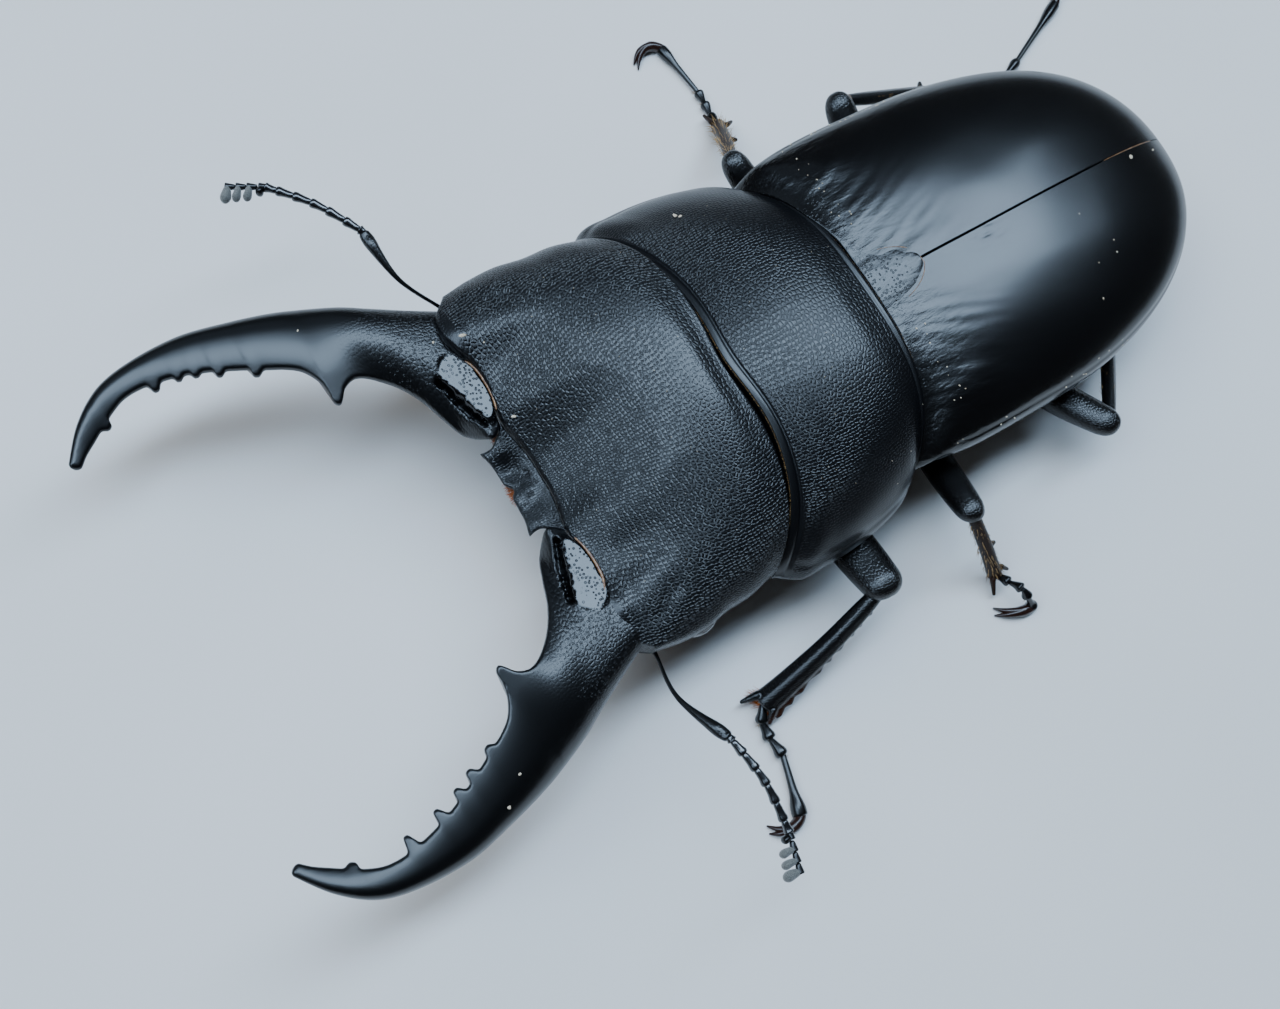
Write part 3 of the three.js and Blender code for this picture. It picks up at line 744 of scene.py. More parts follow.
@dataclass
class Pronotum:
    """The shield of the forebody, with a raised front rim and leather grain."""

    bench: Bench
    front: float = -15.2
    rear: float = 0.3
    margin: float = -1.0
    rim: float = 0.6
    roll: float = 0.03
    width: Measure = profile(17.1, 18.5, 18.6, 18.6, 18.4, 18.0, 17.3, 15.7)
    crown: Measure = profile(6.65, 7.2, 7.4, 7, 6.1)

    def front_edge(self, u: float) -> float:
        """The Y of the front edge, with a low lobe in its middle."""
        lobe = 0.25 * hill(u, 0, 0.17) - 0.2 * hill(abs(u), 0.37, 0.2)
        return self.front - 4.3 * abs(u) ** 4.5 - lobe

    def rear_edge(self, u: float) -> float:
        """The Y of the rear edge."""
        return self.rear - 3.3 * abs(u) ** 3.6

    def plan(self, u: float, v: float) -> tuple[float, float]:
        """X and Y from u, across, and v, from front to rear."""
        return u * self.width(v), lerp(self.front_edge(u), self.rear_edge(u), v)

    def top(self, u: float, v: float) -> float:
        """The height of the shield, with its rims and grooves."""
        arch = vault(u)
        into, out = v * 15.6, (1 - v) * 15.6
        rims = 0.08 * hill(into, 0.35, 0.25) - 0.18 * hill(into, 0.8, 0.12) + 0.05 * hill(into, 1.08, 0.1)
        rims += 0.05 * hill(out, 0.3, 0.2) - 0.12 * hill(out, 0.62, 0.12)
        side = (1 - abs(u)) * self.width(v)
        rims -= 0.2 * hill(side, 0.6, 0.22) * soft(into, 0.5, 2)
        return (self.crown(v) + self.roll * u * self.width(v)) * arch + self.margin * (1 - arch) + rims

    def grain(self, x: float, y: float, z: float) -> float:
        """How strong the leather grain is at a place."""
        u = x / 18
        into = y - self.front_edge(u)
        out = self.rear_edge(u) - y
        fade = lerp(1.1, 0.45, soft(into, 1.5, 12))
        return fade * soft(into, 0.8, 1.2) * soft(out, 0.5, 1.2) * (1 - 0.6 * soft(abs(x), 13.5, 17))

    def build(self) -> bpy.types.Object:
        """Models and finishes the shield."""
        floor = self.margin - self.rim
        piece = self.bench.plate(
            "pronotum_shell", (190, 150), self.plan, self.top, lambda u, v: floor, 0.12, 0.4
        )
        self.bench.mark(piece, grain=self.grain)
        return self.bench.dress(piece, Finish.SHELL.material, "shell", "pronotum")


@dataclass
class Head:
    """The broad, blunt head with its eyes, hollow above the mouth."""

    bench: Bench
    pronotum: Pronotum
    jaws: "Jaws"
    rim: float = 1.3
    gap: float = 0.05
    roll: float = 0.06
    eye_place: tuple[float, float, float] = (16.6, -27.2, -0.6)
    eye_radii: tuple[float, float, float] = (1.7, 2.0, 1.5)
    width: Measure = profile(17, 17.5, 17.6, 18, 17.9, 17.5)
    crown: Measure = profile(6.3, 6.7, 6.3, 5.4, 4.2, 2.9)
    belly: Measure = profile(5.4, 5.6, 5.5, 4.8, 4.2)
    margin: Measure = profile(0.2, 0.4, 0.8, 1.5)
    brow: Measure = profile(-32.55, -32.6, -32.95, -33.35, -33.15, -32.95, -33.1, -33.85, -34.3, -33.8, -32.1)

    def front_edge(self, u: float) -> float:
        """The Y of the front edge, which reaches forwards over the jaws' outer roots."""
        return self.brow(abs(u))

    def plan(self, u: float, v: float) -> tuple[float, float]:
        """X and Y from u, across, and v, from rear to front."""
        rear = self.pronotum.front_edge(u) - self.gap
        return u * self.width(v), lerp(rear, self.front_edge(u), v)

    def relief(self, x: float, y: float) -> float:
        """The ridges and hollows of the upper side."""
        a = abs(x)
        ridge = 0.16 * hill(from_line(a, y, (16.6, -31.4), (15.4, -28.6)), 0, 1.3)
        groove = 0.17 * hill(from_line(a, y, (15.4, -30.7), (14.2, -28.6)), 0, 0.8)
        bulge = 0.45 * hill(a, 13.2, 2.0) * hill(y, -33.2, 0.9)
        nape = 0.3 * hill(x, 0, 10) * (hill(y, -17.9, 1.5) - 0.35 * hill(y, -21.0, 1.6))
        brow = 0.25 * hill(a, 9.5, 2.2) * hill(y, -29.5, 2.2)
        return ridge - groove + bulge + nape - brow

    def top(self, u: float, v: float) -> float:
        """The height of the upper side."""
        x, y = self.plan(u, v)
        hollow = 1.6 * soft(v, 0.2, 1.05) * hill(x, 0, 8.0)
        arch = dome(u, 2.5)
        high = self.crown(v) - self.roll * x
        return high * arch + self.margin(v) * (1 - arch) - hollow + self.relief(x, y)

    def bottom(self, u: float, v: float) -> float:
        """The height of the underside, with the throat's seams."""
        x, y = self.plan(u, v)
        seam = 0.25 * hill(abs(x), 5.5 + 0.06 * (y + 33), 0.3)
        return self.margin(v) - self.rim - self.belly(v) * dome(u, 2.6) + seam * soft(dome(u, 2.6), 0.1, 0.5)

    def grain(self, x: float, y: float, z: float) -> float:
        """How strong the leather grain is at a place."""
        nape = hill(x, 0, 9) * soft(y, -22.5, -18.5)
        middle = hill(x, 0, 6) * hill(y, -25, 3.5)
        bulge = soft(y, -32.7, -33.3) * hill(abs(x), 13.2, 2.4)
        low = 1 - 0.5 * soft(z, 0, -3)
        return max(0, 1.1 - 0.7 * nape - 0.15 * middle - bulge) * low

    def egg(self, name: str, side: int, grow: float) -> bpy.types.Object:
        """An egg in the place of an eye.

        Args:
            name: The name of the piece.
            side: 1 for the left eye and -1 for the right.
            grow: How much larger it is than the eye, in millimetres.

        Returns:
            The closed egg.
        """
        middle = Vector(self.eye_place)
        middle.x *= side

        def place(u: float, v: float) -> Vector:
            """The place on the egg's surface."""
            lift, turn = math.pi * (v - 0.5), math.pi * (u + 1)
            flat = math.cos(lift)
            out = Vector((flat * math.cos(turn), flat * math.sin(turn), math.sin(lift)))
            return middle + Vector([(r + grow) * step for r, step in zip(self.eye_radii, out)])

        return self.bench.weld(self.bench.lay(name, 40, 24, place), closed=False)

    def build(self) -> bpy.types.Object:
        """Models and finishes the head and the eyes."""
        shell = self.bench.plate("head_shell", (180, 130), self.plan, self.top, self.bottom, 0.3)
        for name, side in SIDES.items():
            self.bench.cut(shell, self.egg(f"socket_{name}", side, 0.08))
            self.bench.cut(shell, self.jaws.blade(side, 0.3, 0.12))
            eye = self.egg(f"eye_{name}_globe", side, -0.02)
            self.bench.dress(eye, Finish.EYE.material, "eye", f"eye_{name}")
        self.bench.mark(shell, grain=self.grain)
        return self.bench.dress(shell, Finish.SHELL.material, "shell", "head")


@dataclass
class Jaws:
    """The mandibles: flat, strong blades with one great tooth and a row of small ones."""

    bench: Bench
    edge: Sequence[tuple[float, float]] = (
        (5.3, -33.4), (4.4, -34.8), (6.0, -36.3), (8.0, -37.3), (10.1, -38.2), (11.9, -39.4),
        (13.3, -40.9), (13.9, -42.2), (13.6, -43.3), (12.8, -44.0), (12.5, -44.4), (12.9, -44.75),
        (13.9, -44.75), (15.1, -45.0), (16.3, -45.7), (17.1, -46.7), (17.8, -48.0), (18.5, -49.3),
        (19.2, -50.7), (19.9, -52.2), (20.5, -53.8), (20.9, -55.3), (21.2, -57.1), (21.1, -58.8),
        (20.5, -60.2), (19.8, -61.3), (19.1, -62.3), (18.3, -63.4), (17.4, -64.3),
    )
    pegs: Sequence[Sequence[tuple[float, float, float]]] = (
        (
            (-48.8, 0.6, 0.38), (-51.4, 0.5, 0.34), (-53.1, 0.36, 0.32), (-54.4, 0.4, 0.32),
            (-56.3, 0.7, 0.42), (-61.1, 0.5, 0.36),
        ),
        (
            (-48.0, 0.5, 0.4), (-50.0, 0.75, 0.4), (-51.5, 0.75, 0.38), (-53.5, 1.0, 0.4),
            (-56.4, 1.2, 0.45), (-61.0, 0.5, 0.4),
        ),
    )
    inner: Path = Path([
        (5.3, -33.4), (4.7, -35.2), (7.2, -37.1), (11.6, -39.2), (14.3, -42.2), (16.2, -45.4),
        (18.5, -49), (20.3, -53), (21.2, -57), (20.6, -60.6), (19.1, -62.8), (17.35, -64.2),
    ])
    outer: Path = Path([
        (16.4, -32.2), (17.8, -35.2), (19.3, -38.2), (20.5, -40.4), (21.6, -43), (22.5, -45.6),
        (23.4, -49.2), (24.1, -53), (23.9, -57.2), (23.0, -60.4), (20.9, -63), (18.0, -65.1),
    ])
    depth: Measure = profile(1.55, 1.85, 2.35, 2.5, 2.3, 2.2, 2.0, 1.8, 1.5, 1.2, 0.8, 0.4)
    lift: Measure = profile(0.6, 0.9, 1.1, 1.2, 1.3, 1.3, 1.2, 1.0, 0.8, 0.7, 0.8, 0.9)
    lean: Sequence[Measure] = (
        profile(0.0, 0.0, 0.0, 0.02, 0.04, 0.15, 0.28),
        profile(0.0, -0.1, -0.3, -0.22, -0.14, 0.02, 0.08),
    )
    brink: float = 0.24
    slit: Sequence[tuple[float, float]] = ((5.8, -34.7), (7.4, -35.35), (9.0, -35.8), (10.7, -36.35))

    def __post_init__(self) -> None:
        """Finds where each point of the edge stands on the plain inner line."""
        steps = [i / 600 for i in range(601)]
        feet = [0.0]
        for point in self.edge[1:-1]:
            spot = Vector(point)
            ahead = [t for t in steps if t > feet[-1]]
            feet.append(min(ahead, key=lambda t: (self.inner.at(t) - spot).length))
        self.rim = Path(self.edge)
        self.feet = Path([(t, 0) for t in (*feet, 1.0)])

    def toothed(self, side: int, v: float) -> Vector:
        """The inner edge at v, with its small blunt teeth."""
        spot, way = self.rim.at(v), self.rim.heading(v)
        reach = sum(high * math.exp(-abs((spot.y - y) / half) ** 4) for y, high, half in self.pegs[side > 0])
        return spot + Vector((way.y, -way.x)) * reach

    def fall(self, near: float) -> float:
        """How far the blade falls towards its inner edge, 0 at its crest and about a half at the edge."""
        return near - 0.5 if near > 1 else max(0, near) ** 2 / 2

    def blade(self, side: int, reach: float = 1.0, grow: float = 0.0) -> bpy.types.Object:
        """The blade with its teeth, flat above with a keen inner edge, from the head to its tip.

        Args:
            side: 1 for the left jaw and -1 for the right.
            reach: How much of its length is made. A part of it is made without teeth.
            grow: How much larger it is all round, in millimetres.

        Returns:
            The closed blade.
        """

        def place(u: float, v: float) -> tuple[float, float, float]:
            """The place on the blade's skin."""
            c, s = math.cos(math.pi * (u + 1)), math.sin(math.pi * (u + 1))
            t = v * reach if reach < 1 else self.feet.at(v).x
            root, outer = self.inner.at(t), self.outer.at(t)
            edge = root if reach < 1 else self.toothed(side, v)
            wide, deep, lift = (outer - root).length, self.depth(t), self.lift(t)
            share = 1 if grow else lip(t * 35, 0.4) * lip((1 - t) * 35, 0.5)
            across = 0.5 + 0.5 * c
            plan = edge.lerp(outer, across)
            place_in = (plan - root).dot(outer - root) / wide ** 2
            crest = lerp(0.8, 0.52, soft(t, 0.12, 0.4))
            slope = lerp(lerp(0.12, 0.6, soft(t, 0.07, 0.16)), 0.2, soft(t, 0.3, 0.385))
            out = max(0, (place_in - crest) / (1 - crest))
            run = slope * crest * wide
            brim = lift + deep * dome(out, 2.4) - run * self.fall(1 - place_in / crest)
            round_off = self.brink * (1 - lip(across * (outer - edge).length, self.brink))
            if s > 0:
                z = brim - round_off
            else:
                rim_in = (edge - root).dot(outer - root) / wide ** 2
                rim_high = lift + deep - run * self.fall(1 - rim_in / crest) - self.brink
                low = lift - deep * dome(max(0, across - 0.6) / 0.4, 2)
                z = lerp(rim_high, low, soft(across, -0.3, 0.6) * 1.23 - 0.23) if across < 0.6 else low
            z = lift + share * (z - lift) + grow * math.copysign(1, s)
            z += self.lean[side > 0](t) * wide * (place_in - 0.4)
            across = 0.5 + (across - 0.5) * share * (1 + 2 * grow / wide)
            plan = edge.lerp(outer, across)
            return side * plan.x, plan.y + grow * (1 - 2 * v), z

        name = f"jaw_blade_{side}"
        return self.bench.weld(self.bench.lay(name, 56, 110 if grow else 420, place), closed=bool(grow))

    def facet(self, x: float, y: float) -> float:
        """Where the polished facet at the root lies, from 0 to 1."""
        a = abs(x)
        inner = ((a - 8.6) / 2.9) ** 2 + ((y + 34.15) / 1.1) ** 2
        outer = ((a - 10.5) / 1.95) ** 2 + ((y + 34.6) / 1.55) ** 2
        return soft(min(inner, outer), 1.3, 0.75)

    def relief(self, x: float, y: float, z: float) -> float:
        """The press of the facet and of the ragged slit in front of it."""
        if z < 0.8:
            return 0.0
        a = abs(x)
        plane = 2.45 - 0.06 * (y + 34.5) + 0.04 * (a - 11)
        ragged = 0.14 * noise.noise(Vector((x * 2.2, y * 2.2, 0)))
        slit = min(from_line(a, y, start, end) for start, end in zip(self.slit, self.slit[1:])) + ragged
        wide = 0.2 + 0.1 * hill(a, 8.0, 1.6)
        return self.facet(x, y) * (plane - z) - 1.0 * hill(max(0, slit), 0, wide) * soft(z, 0.8, 1.6)

    def polish(self, x: float, y: float, z: float) -> float:
        """Where the facet at the root is polished."""
        return self.facet(x, y) * soft(z, 1, 2)

    def pits(self, x: float, y: float, z: float) -> float:
        """Where the jaws are punctured: on the facets, and thinly around them."""
        around = 0.5 * soft(y, -41, -37) * soft(abs(x), 10, 12.5)
        return max(0.9 * self.polish(x, y, z) * soft(y, -35.2, -34.2), around)

    def grain(self, x: float, y: float, z: float) -> float:
        """The pebbled grain, which fades away from the head."""
        return 0.5 * soft(y, -44, -36) * (1 - self.facet(x, y))

    def build(self) -> list[bpy.types.Object]:
        """Models and finishes both jaws."""
        jaws = []
        for name, side in SIDES.items():
            jaw = self.blade(side)
            jaw.name = jaw.data.name = f"jaw_{name}"
            self.bench.melt(jaw, 0.1, 6)
            self.bench.press(jaw, self.relief)
            self.bench.mark(jaw, polish=self.polish, pits=self.pits, grain=self.grain)
            jaws.append(self.bench.dress(jaw, Finish.HORN.material, "horn", f"mandible_{name}"))
        return jaws


@dataclass
class Mouth:
    """The two-pointed labrum, the mentum below and the feelers of the mouth."""

    bench: Bench
    head: Head
    width: Measure = profile(5.4, 4.85, 4.4, 4.05, 4.0, 4.1)
    gap: float = 0.3

    def lip_plan(self, u: float, v: float) -> tuple[float, float]:
        """X and Y of the labrum, which runs out into two points."""
        rear = self.head.front_edge(u * 5.4 / 17.5) - 0.05
        front = -35.6 - 0.4 * hill(abs(u), 1, 0.28) + 0.5 * hill(u, -0.02, 0.11)
        return u * self.width(v), lerp(rear, front, v)

    def lip_top(self, u: float, v: float) -> float:
        """The height of the labrum, with a pit, a knob beside it and two folds."""
        x, y = self.lip_plan(u, v)
        near = math.hypot((x + 1.6) / 1.3, (y + 34.5) / 0.95)
        pit = 0.55 * hill(near, 0, 1) + 0.15 * hill(math.hypot(x + 0.75, y + 33.55), 0, 0.3)
        far = math.hypot(x - 0.55, y + 34.15)
        knob = 0.16 * hill(far, 0, 0.5)
        folds = (
            0.14 * hill(abs(x), 3.3, 0.8) * soft(v, 0.1, 0.5)
            - 0.1 * hill(x, 2.0, 0.5) * soft(v, 0.3, 0.8)
        )
        return lerp(0.95 + 0.025 * x * x, 0.35, v) - pit + knob + folds

    def chin_plan(self, u: float, v: float) -> tuple[float, float]:
        """X and Y of the mentum."""
        return self.head.plan(0.3 * u, lerp(0.58, 0.9, v))

    def chin_top(self, u: float, v: float) -> float:
        """The upper side of the mentum."""
        return self.head.bottom(0.3 * u, lerp(0.58, 0.9, v)) - self.gap

    def build(self) -> None:
        """Models and finishes the mouth."""
        bench = self.bench
        labrum = bench.plate(
            "labrum_plate", (100, 50), self.lip_plan, self.lip_top, lambda u, v: -1.3, 0.25, 0.8
        )
        bench.mark(labrum, grain=lambda x, y, z: 0.6, wrinkle=lambda x, y, z: 0.3)
        bench.dress(labrum, Finish.SHELL.material, "shell", "labrum")
        low = lambda u, v: self.chin_top(u, v) - 0.9 + 0.2 * u * u
        mentum = bench.plate("mentum_plate", (40, 24), self.chin_plan, self.chin_top, low, 0.05)
        bench.mark(mentum, grain=lambda x, y, z: 1.2)
        bench.dress(mentum, Finish.SHELL.material, "shell", "mentum")
        for name, side in SIDES.items():
            self.palp(
                f"palp_outer_{name}", side, [(3.9, -31.6, -5.3), (4.3, -32.6, -5.2), (4.6, -33.4, -5.4)]
            )
            self.palp(
                f"palp_inner_{name}", side, [(1.4, -31.4, -4.8), (2, -32.4, -4.8), (2.6, -33.2, -5.2)]
            )

    def palp(self, node: str, side: int, points: Sequence[Sequence[float]]) -> None:
        """Models and finishes a palp of three joints."""
        line = Path([(side * x, y, z) for x, y, z in points])
        joints = []
        for start, end in ((0, 0.3), (0.33, 0.62), (0.65, 1)):
            places = [line.at(lerp(start, end, t)) for t in (0, 0.5, 1)]
            size = profile(0.24, 0.34, 0.46, 0.44)
            joints.append(
                Limb(places, size, size, start_round=0.15, end_round=0.2).lay(self.bench, node, 14, 14)
            )
        piece = self.bench.join(*joints)
        piece.name = f"{node}_joints"
        self.bench.mark(piece, warm=lambda x, y, z: 0.8)
        self.bench.dress(piece, Finish.BROWN.material, "brown", node)


@dataclass
class WingCases:
    """The wing cases and the small scutellum between their roots."""

    bench: Bench
    pronotum: Pronotum
    half_width: float = 16.4
    shoulder: float = 15.8
    widest: float = 12.0
    apex: float = 39.4
    crown: float = 6.9
    rim: float = 1.0
    seam: float = 0.025
    gap: float = 0.12
    scutellum_half: float = 2.8
    scutellum_front: float = 0.42
    scutellum_length: float = 5.35

    def width(self, y: float) -> float:
        """Half the width of the closed wing cases."""
        if y > self.widest:
            return self.half_width * dome((y - self.widest) / (self.apex - self.widest), 2.2)
        return self.half_width - (self.half_width - self.shoulder) * max(0, (8 - y) / 9) ** 3

    def ridge(self, y: float) -> float:
        """The height along the seam."""
        if y < 10:
            return self.crown - 0.9 * ((10 - y) / 9) ** 2
        return self.crown * dome((y - 10) / (self.apex + 0.4 - 10), 2.2)

    def margin(self, y: float) -> float:
        """The height along the outer edge."""
        return 0.5 + 1.2 * (1 - soft(y, 6, 24))

    def bend(self, y: float) -> float:
        """How far the hind body turns to the right."""
        return 0.55 * soft(y, 8, 42)

    def plan(self, side: int, u: float, v: float) -> tuple[float, float]:
        """X and Y from u, seam to edge from -1 to 1, and v, from front to rear."""
        w = (u + 1) / 2
        start = self.pronotum.rear_edge(w) + lerp(self.gap, -0.5, soft(w, 0.25, 0.6))
        y = lerp(start, self.apex - 0.5, 1 - (1 - v) ** 1.6)
        return side * (self.seam + w * (self.width(y) - self.seam)) - self.bend(y), y

    def top(self, side: int, u: float, v: float) -> float:
        """The height of a wing case, with its edge gutter and faint dents."""
        x, y = self.plan(side, u, v)
        w = (u + 1) / 2
        arch = dome(w, 2.6)
        inset = (1 - w) * self.width(y)
        behind = y - self.pronotum.rear_edge(w)
        gutter = 0.16 * hill(inset, 0.5, 0.17) * soft(y, -1, 3)
        shoulder = 0.2 * hill(abs(x), 12, 1.8) * hill(y, 3.6, 2.2)
        dents = 0.07 * noise.noise(Vector((x * 0.22 + side * 7, y * 0.12, 0.3)))
        streaks = noise.noise(Vector((x * 1.1 - y * 0.35 * side, y * 0.22, side))) * soft(y, 13, 3)
        scuff = noise.noise(Vector((x * 2.5, y * 1.2, 5.0)))
        dimple = 0.05 * max(0, scuff) * hill(x, 1.2, 1.8) * hill(y, 13.0, 1.6)
        rise = shoulder + dents + 0.035 * streaks - gutter - dimple
        high = self.ridge(y) * arch + self.margin(y) * (1 - arch) + rise
        shield = self.pronotum.crown(1) * vault(w) + self.pronotum.margin * (1 - vault(w))
        return high - max(0, high - shield) * (1 - soft(behind, -1.2, 3.0)) ** 1.6

    def wrinkle(self, x: float, y: float, z: float) -> float:
        """Where the wing cases are finely wrinkled: at the base, the shoulders and the sides."""
        base = soft(y, 9, 1)
        sides = soft(abs(x), 10, 15) * soft(y, 30, 12)
        return min(1, 0.7 * base + 0.4 * sides)

    def pits(self, x: float, y: float, z: float) -> float:
        """Where the wing cases are punctured: at the base and the shoulders."""
        return 0.12 * soft(y, 2.6, 0.8) * soft(abs(x), 11, 9)

    def scutellum_plan(self, u: float, v: float, grow: float = 0.0) -> tuple[float, float]:
        """X and Y of the scutellum, or of the room it needs."""
        x = u * (self.scutellum_half * math.sqrt(1.02 - v * v) + grow)
        return x, self.scutellum_front + self.scutellum_length * v + grow * (2 * v - 1)

    def scutellum_top(self, u: float, v: float) -> float:
        """The height of the scutellum."""
        _, y = self.scutellum_plan(u, v)
        return self.ridge(y) + 0.08 - 0.15 * u * u

    def build(self) -> list[bpy.types.Object]:
        """Models and finishes the wing cases and the scutellum."""
        bench, cases = self.bench, []
        for name, side in SIDES.items():
            piece = bench.plate(
                f"wing_case_{name}", (110, 170), lambda u, v: self.plan(side, u, v),
                lambda u, v: self.top(side, u, v), lambda u, v: -self.rim, 0.07, 1.1,
            )
            room = bench.plate(
                "room", (48, 48), lambda u, v: self.scutellum_plan(u, v, 0.04),
                lambda u, v: self.crown + 1, lambda u, v: self.crown - 2.4, 0.01,
            )
            bench.cut(piece, room)
            bench.mark(piece, wrinkle=self.wrinkle, pits=self.pits)
            cases.append(bench.dress(piece, Finish.GLOSS.material, "gloss", f"elytron_{name}"))
        low = lambda u, v: self.crown - 2.3
        shield = bench.plate("scutellum_shield", (50, 50), self.scutellum_plan, self.scutellum_top, low, 0.15)
        bench.mark(shield, wrinkle=lambda x, y, z: 0.5, pits=lambda x, y, z: 0.5 * soft(y, 4.6, 3.4))
        bench.dress(shield, Finish.GLOSS.material, "gloss", "scutellum")
        return cases


@dataclass
class Underside:
    """The plates of the breast and the belly."""

    bench: Bench
    pronotum: Pronotum
    cases: WingCases
    breast: float = 4.9
    rings: Sequence[float] = (16.7, 21.2, 25.4, 29.6, 33.6, 37.8)
    belly: Measure = profile(5.2, 5.4, 5.2, 4.4, 2.2)

    def chest_plan(self, u: float, v: float) -> tuple[float, float]:
        """X and Y of the forebody's underside."""
        front, rear = self.pronotum.front_edge(u) + 0.9, self.pronotum.rear_edge(u) - 0.4
        return 0.93 * u * self.pronotum.width(v), lerp(front, rear, v)

    def chest_low(self, u: float, v: float) -> float:
        """The underside of the forebody, with the keel between the forelegs."""
        keel = 0.5 * hill(u, 0, 0.06) * soft(v, 0.1, 0.4)
        hollow = 0.8 * hill(abs(u), 0.3, 0.12) * hill(v, 0.45, 0.25)
        return -2.4 - self.breast * (1 - abs(u) ** 1.6) ** 0.9 - keel + hollow

    def ring_plan(self, start: float, end: float, u: float, v: float) -> tuple[float, float]:
        """X and Y of a ring of the body between two places along it."""
        y = lerp(start, end, v)
        return u * max(0.5, self.cases.width(y) - 0.9) - self.cases.bend(y), y

    def build(self) -> None:
        """Models and finishes the plates."""
        bench = self.bench
        chest = bench.plate(
            "breast_plate", (110, 60), self.chest_plan, lambda u, v: -1.9, self.chest_low, 0.05
        )
        bench.mark(chest, grain=lambda x, y, z: 0.8, wrinkle=lambda x, y, z: 0.3)
        bench.dress(chest, Finish.SHELL.material, "shell", "prosternum")

        def middle_low(u: float, v: float) -> float:
            """The underside of the middle body, with its line and the hollows of the hips."""
            line = 0.3 * hill(u, 0, 0.025) * soft(v, 0.1, 0.3)
            hips = 0.7 * hill(abs(u), 0.36, 0.14) * (hill(v, 0.2, 0.14) + hill(v, 0.88, 0.12))
            return -1.8 - 5.6 * dome(u, 2) + line + hips

        middle = bench.plate(
            "middle_plate", (110, 60), lambda u, v: self.ring_plan(0.5, 16.4, u, v),
            lambda u, v: -1.3, middle_low, 0.05,
        )
        bench.mark(middle, grain=lambda x, y, z: 0.6, wrinkle=lambda x, y, z: 0.2)
        bench.dress(middle, Finish.SHELL.material, "shell", "metasternum")
        plates = []
        for i, (start, end) in enumerate(zip(self.rings, self.rings[1:])):

            def low(u: float, v: float) -> float:
                """The underside of one ring of the belly, which overlaps the next."""
                y = lerp(start, end, v)
                depth = self.belly((y - 16.7) / 21.1)
                step = 0.28 * soft(v, 1, 0.93) - 0.22 * (1 - v) * 0.6
                return -1.8 - depth * dome(u, 2.2) + 0.25 - step

            plates.append(bench.plate(
                f"belly_{i}", (90, 16), lambda u, v: self.ring_plan(start, end, u, v),
                lambda u, v: -1.3, low, 0.05,
            ))
        belly = bench.join(*plates)
        belly.name = belly.data.name = "belly_rings"
        bench.mark(belly, grain=lambda x, y, z: 0.4, wrinkle=lambda x, y, z: 0.3)
        bench.dress(belly, Finish.SHELL.material, "shell", "abdomen")


# ---- The legs ----


@dataclass(frozen=True)
class Leg:
    """The joints of a leg, its foot out to the claws, and its size."""

    coxa: tuple[float, float, float]
    hip: tuple[float, float, float]
    knee: tuple[float, float, float]
    ankle: tuple[float, float, float]
    foot: tuple[tuple[float, float], ...]
    claw: tuple[tuple[float, float], ...]
    size: float
    broad: float
    arch: float = 0.0


LEGS = {
    "fore_left": Leg(
        (4.8, -9.6, -6), (8.8, -9.9, -5.8), (22.6, -10.6, -1.6), (25.8, -23.7, -8.5),
        ((27.1, -24.4), (28.7, -24.5), (30.5, -24.3), (35.7, -25.9)), ((36.1, -27.5), (34.9, -28.9)), 1.12, 1,
    ),
    "fore_right": Leg(
        (-4.8, -9.6, -6), (-7.6, -9.5, -6), (-17.6, -11.6, -4.2), (-15.4, -23.6, -8.5),
        ((-15.3, -25), (-15.2, -26.6), (-15, -28.2), (-14.6, -33.1)), ((-14.7, -34.7), (-14, -35.8)), 1.12, 1,
    ),
    "mid_left": Leg(
        (4.8, 4, -6.2), (8.6, 3.3, -5.9), (21, 0.4, -1.2), (27, 2.8, -8.4),
        ((28.3, 3.2), (29.4, 3.5), (30.3, 3.9), (31.3, 4.6)), ((31, 2.8), (29.6, 1.2)), 0.95, 0.7, 2.4,
    ),
    "mid_right": Leg(
        (-4.8, 4, -6.2), (-8.4, 3.2, -5.9), (-18.7, 0, -1.3), (-25.6, 4.9, -8.4),
        ((-27.2, 5.2), (-28.7, 5.4), (-30.1, 5.5), (-36.1, 4.7)), ((-36.9, 2.9), (-35.6, 1.3)), 0.95, 0.7,
    ),
    "hind_left": Leg(
        (5.8, 13.4, -6.1), (9.4, 14.6, -6), (20.6, 19, -3), (9, 31.2, -8.4),
        ((8.6, 33.2), (8.3, 34.9), (8, 36.5), (6.6, 42)), ((5.6, 43.4), (4.2, 43.8)), 1, 0.75,
    ),
    "hind_right": Leg(
        (-5.8, 13.4, -6.1), (-9.4, 13.8, -6), (-19.7, 13.3, -1.4), (-17, 33.2, -8.3),
        ((-17, 35.6), (-17.3, 37.7), (-18.3, 40.2), (-22.4, 48.9)), ((-23.7, 50.6), (-23.1, 52.4)), 1, 0.75,
    ),
}


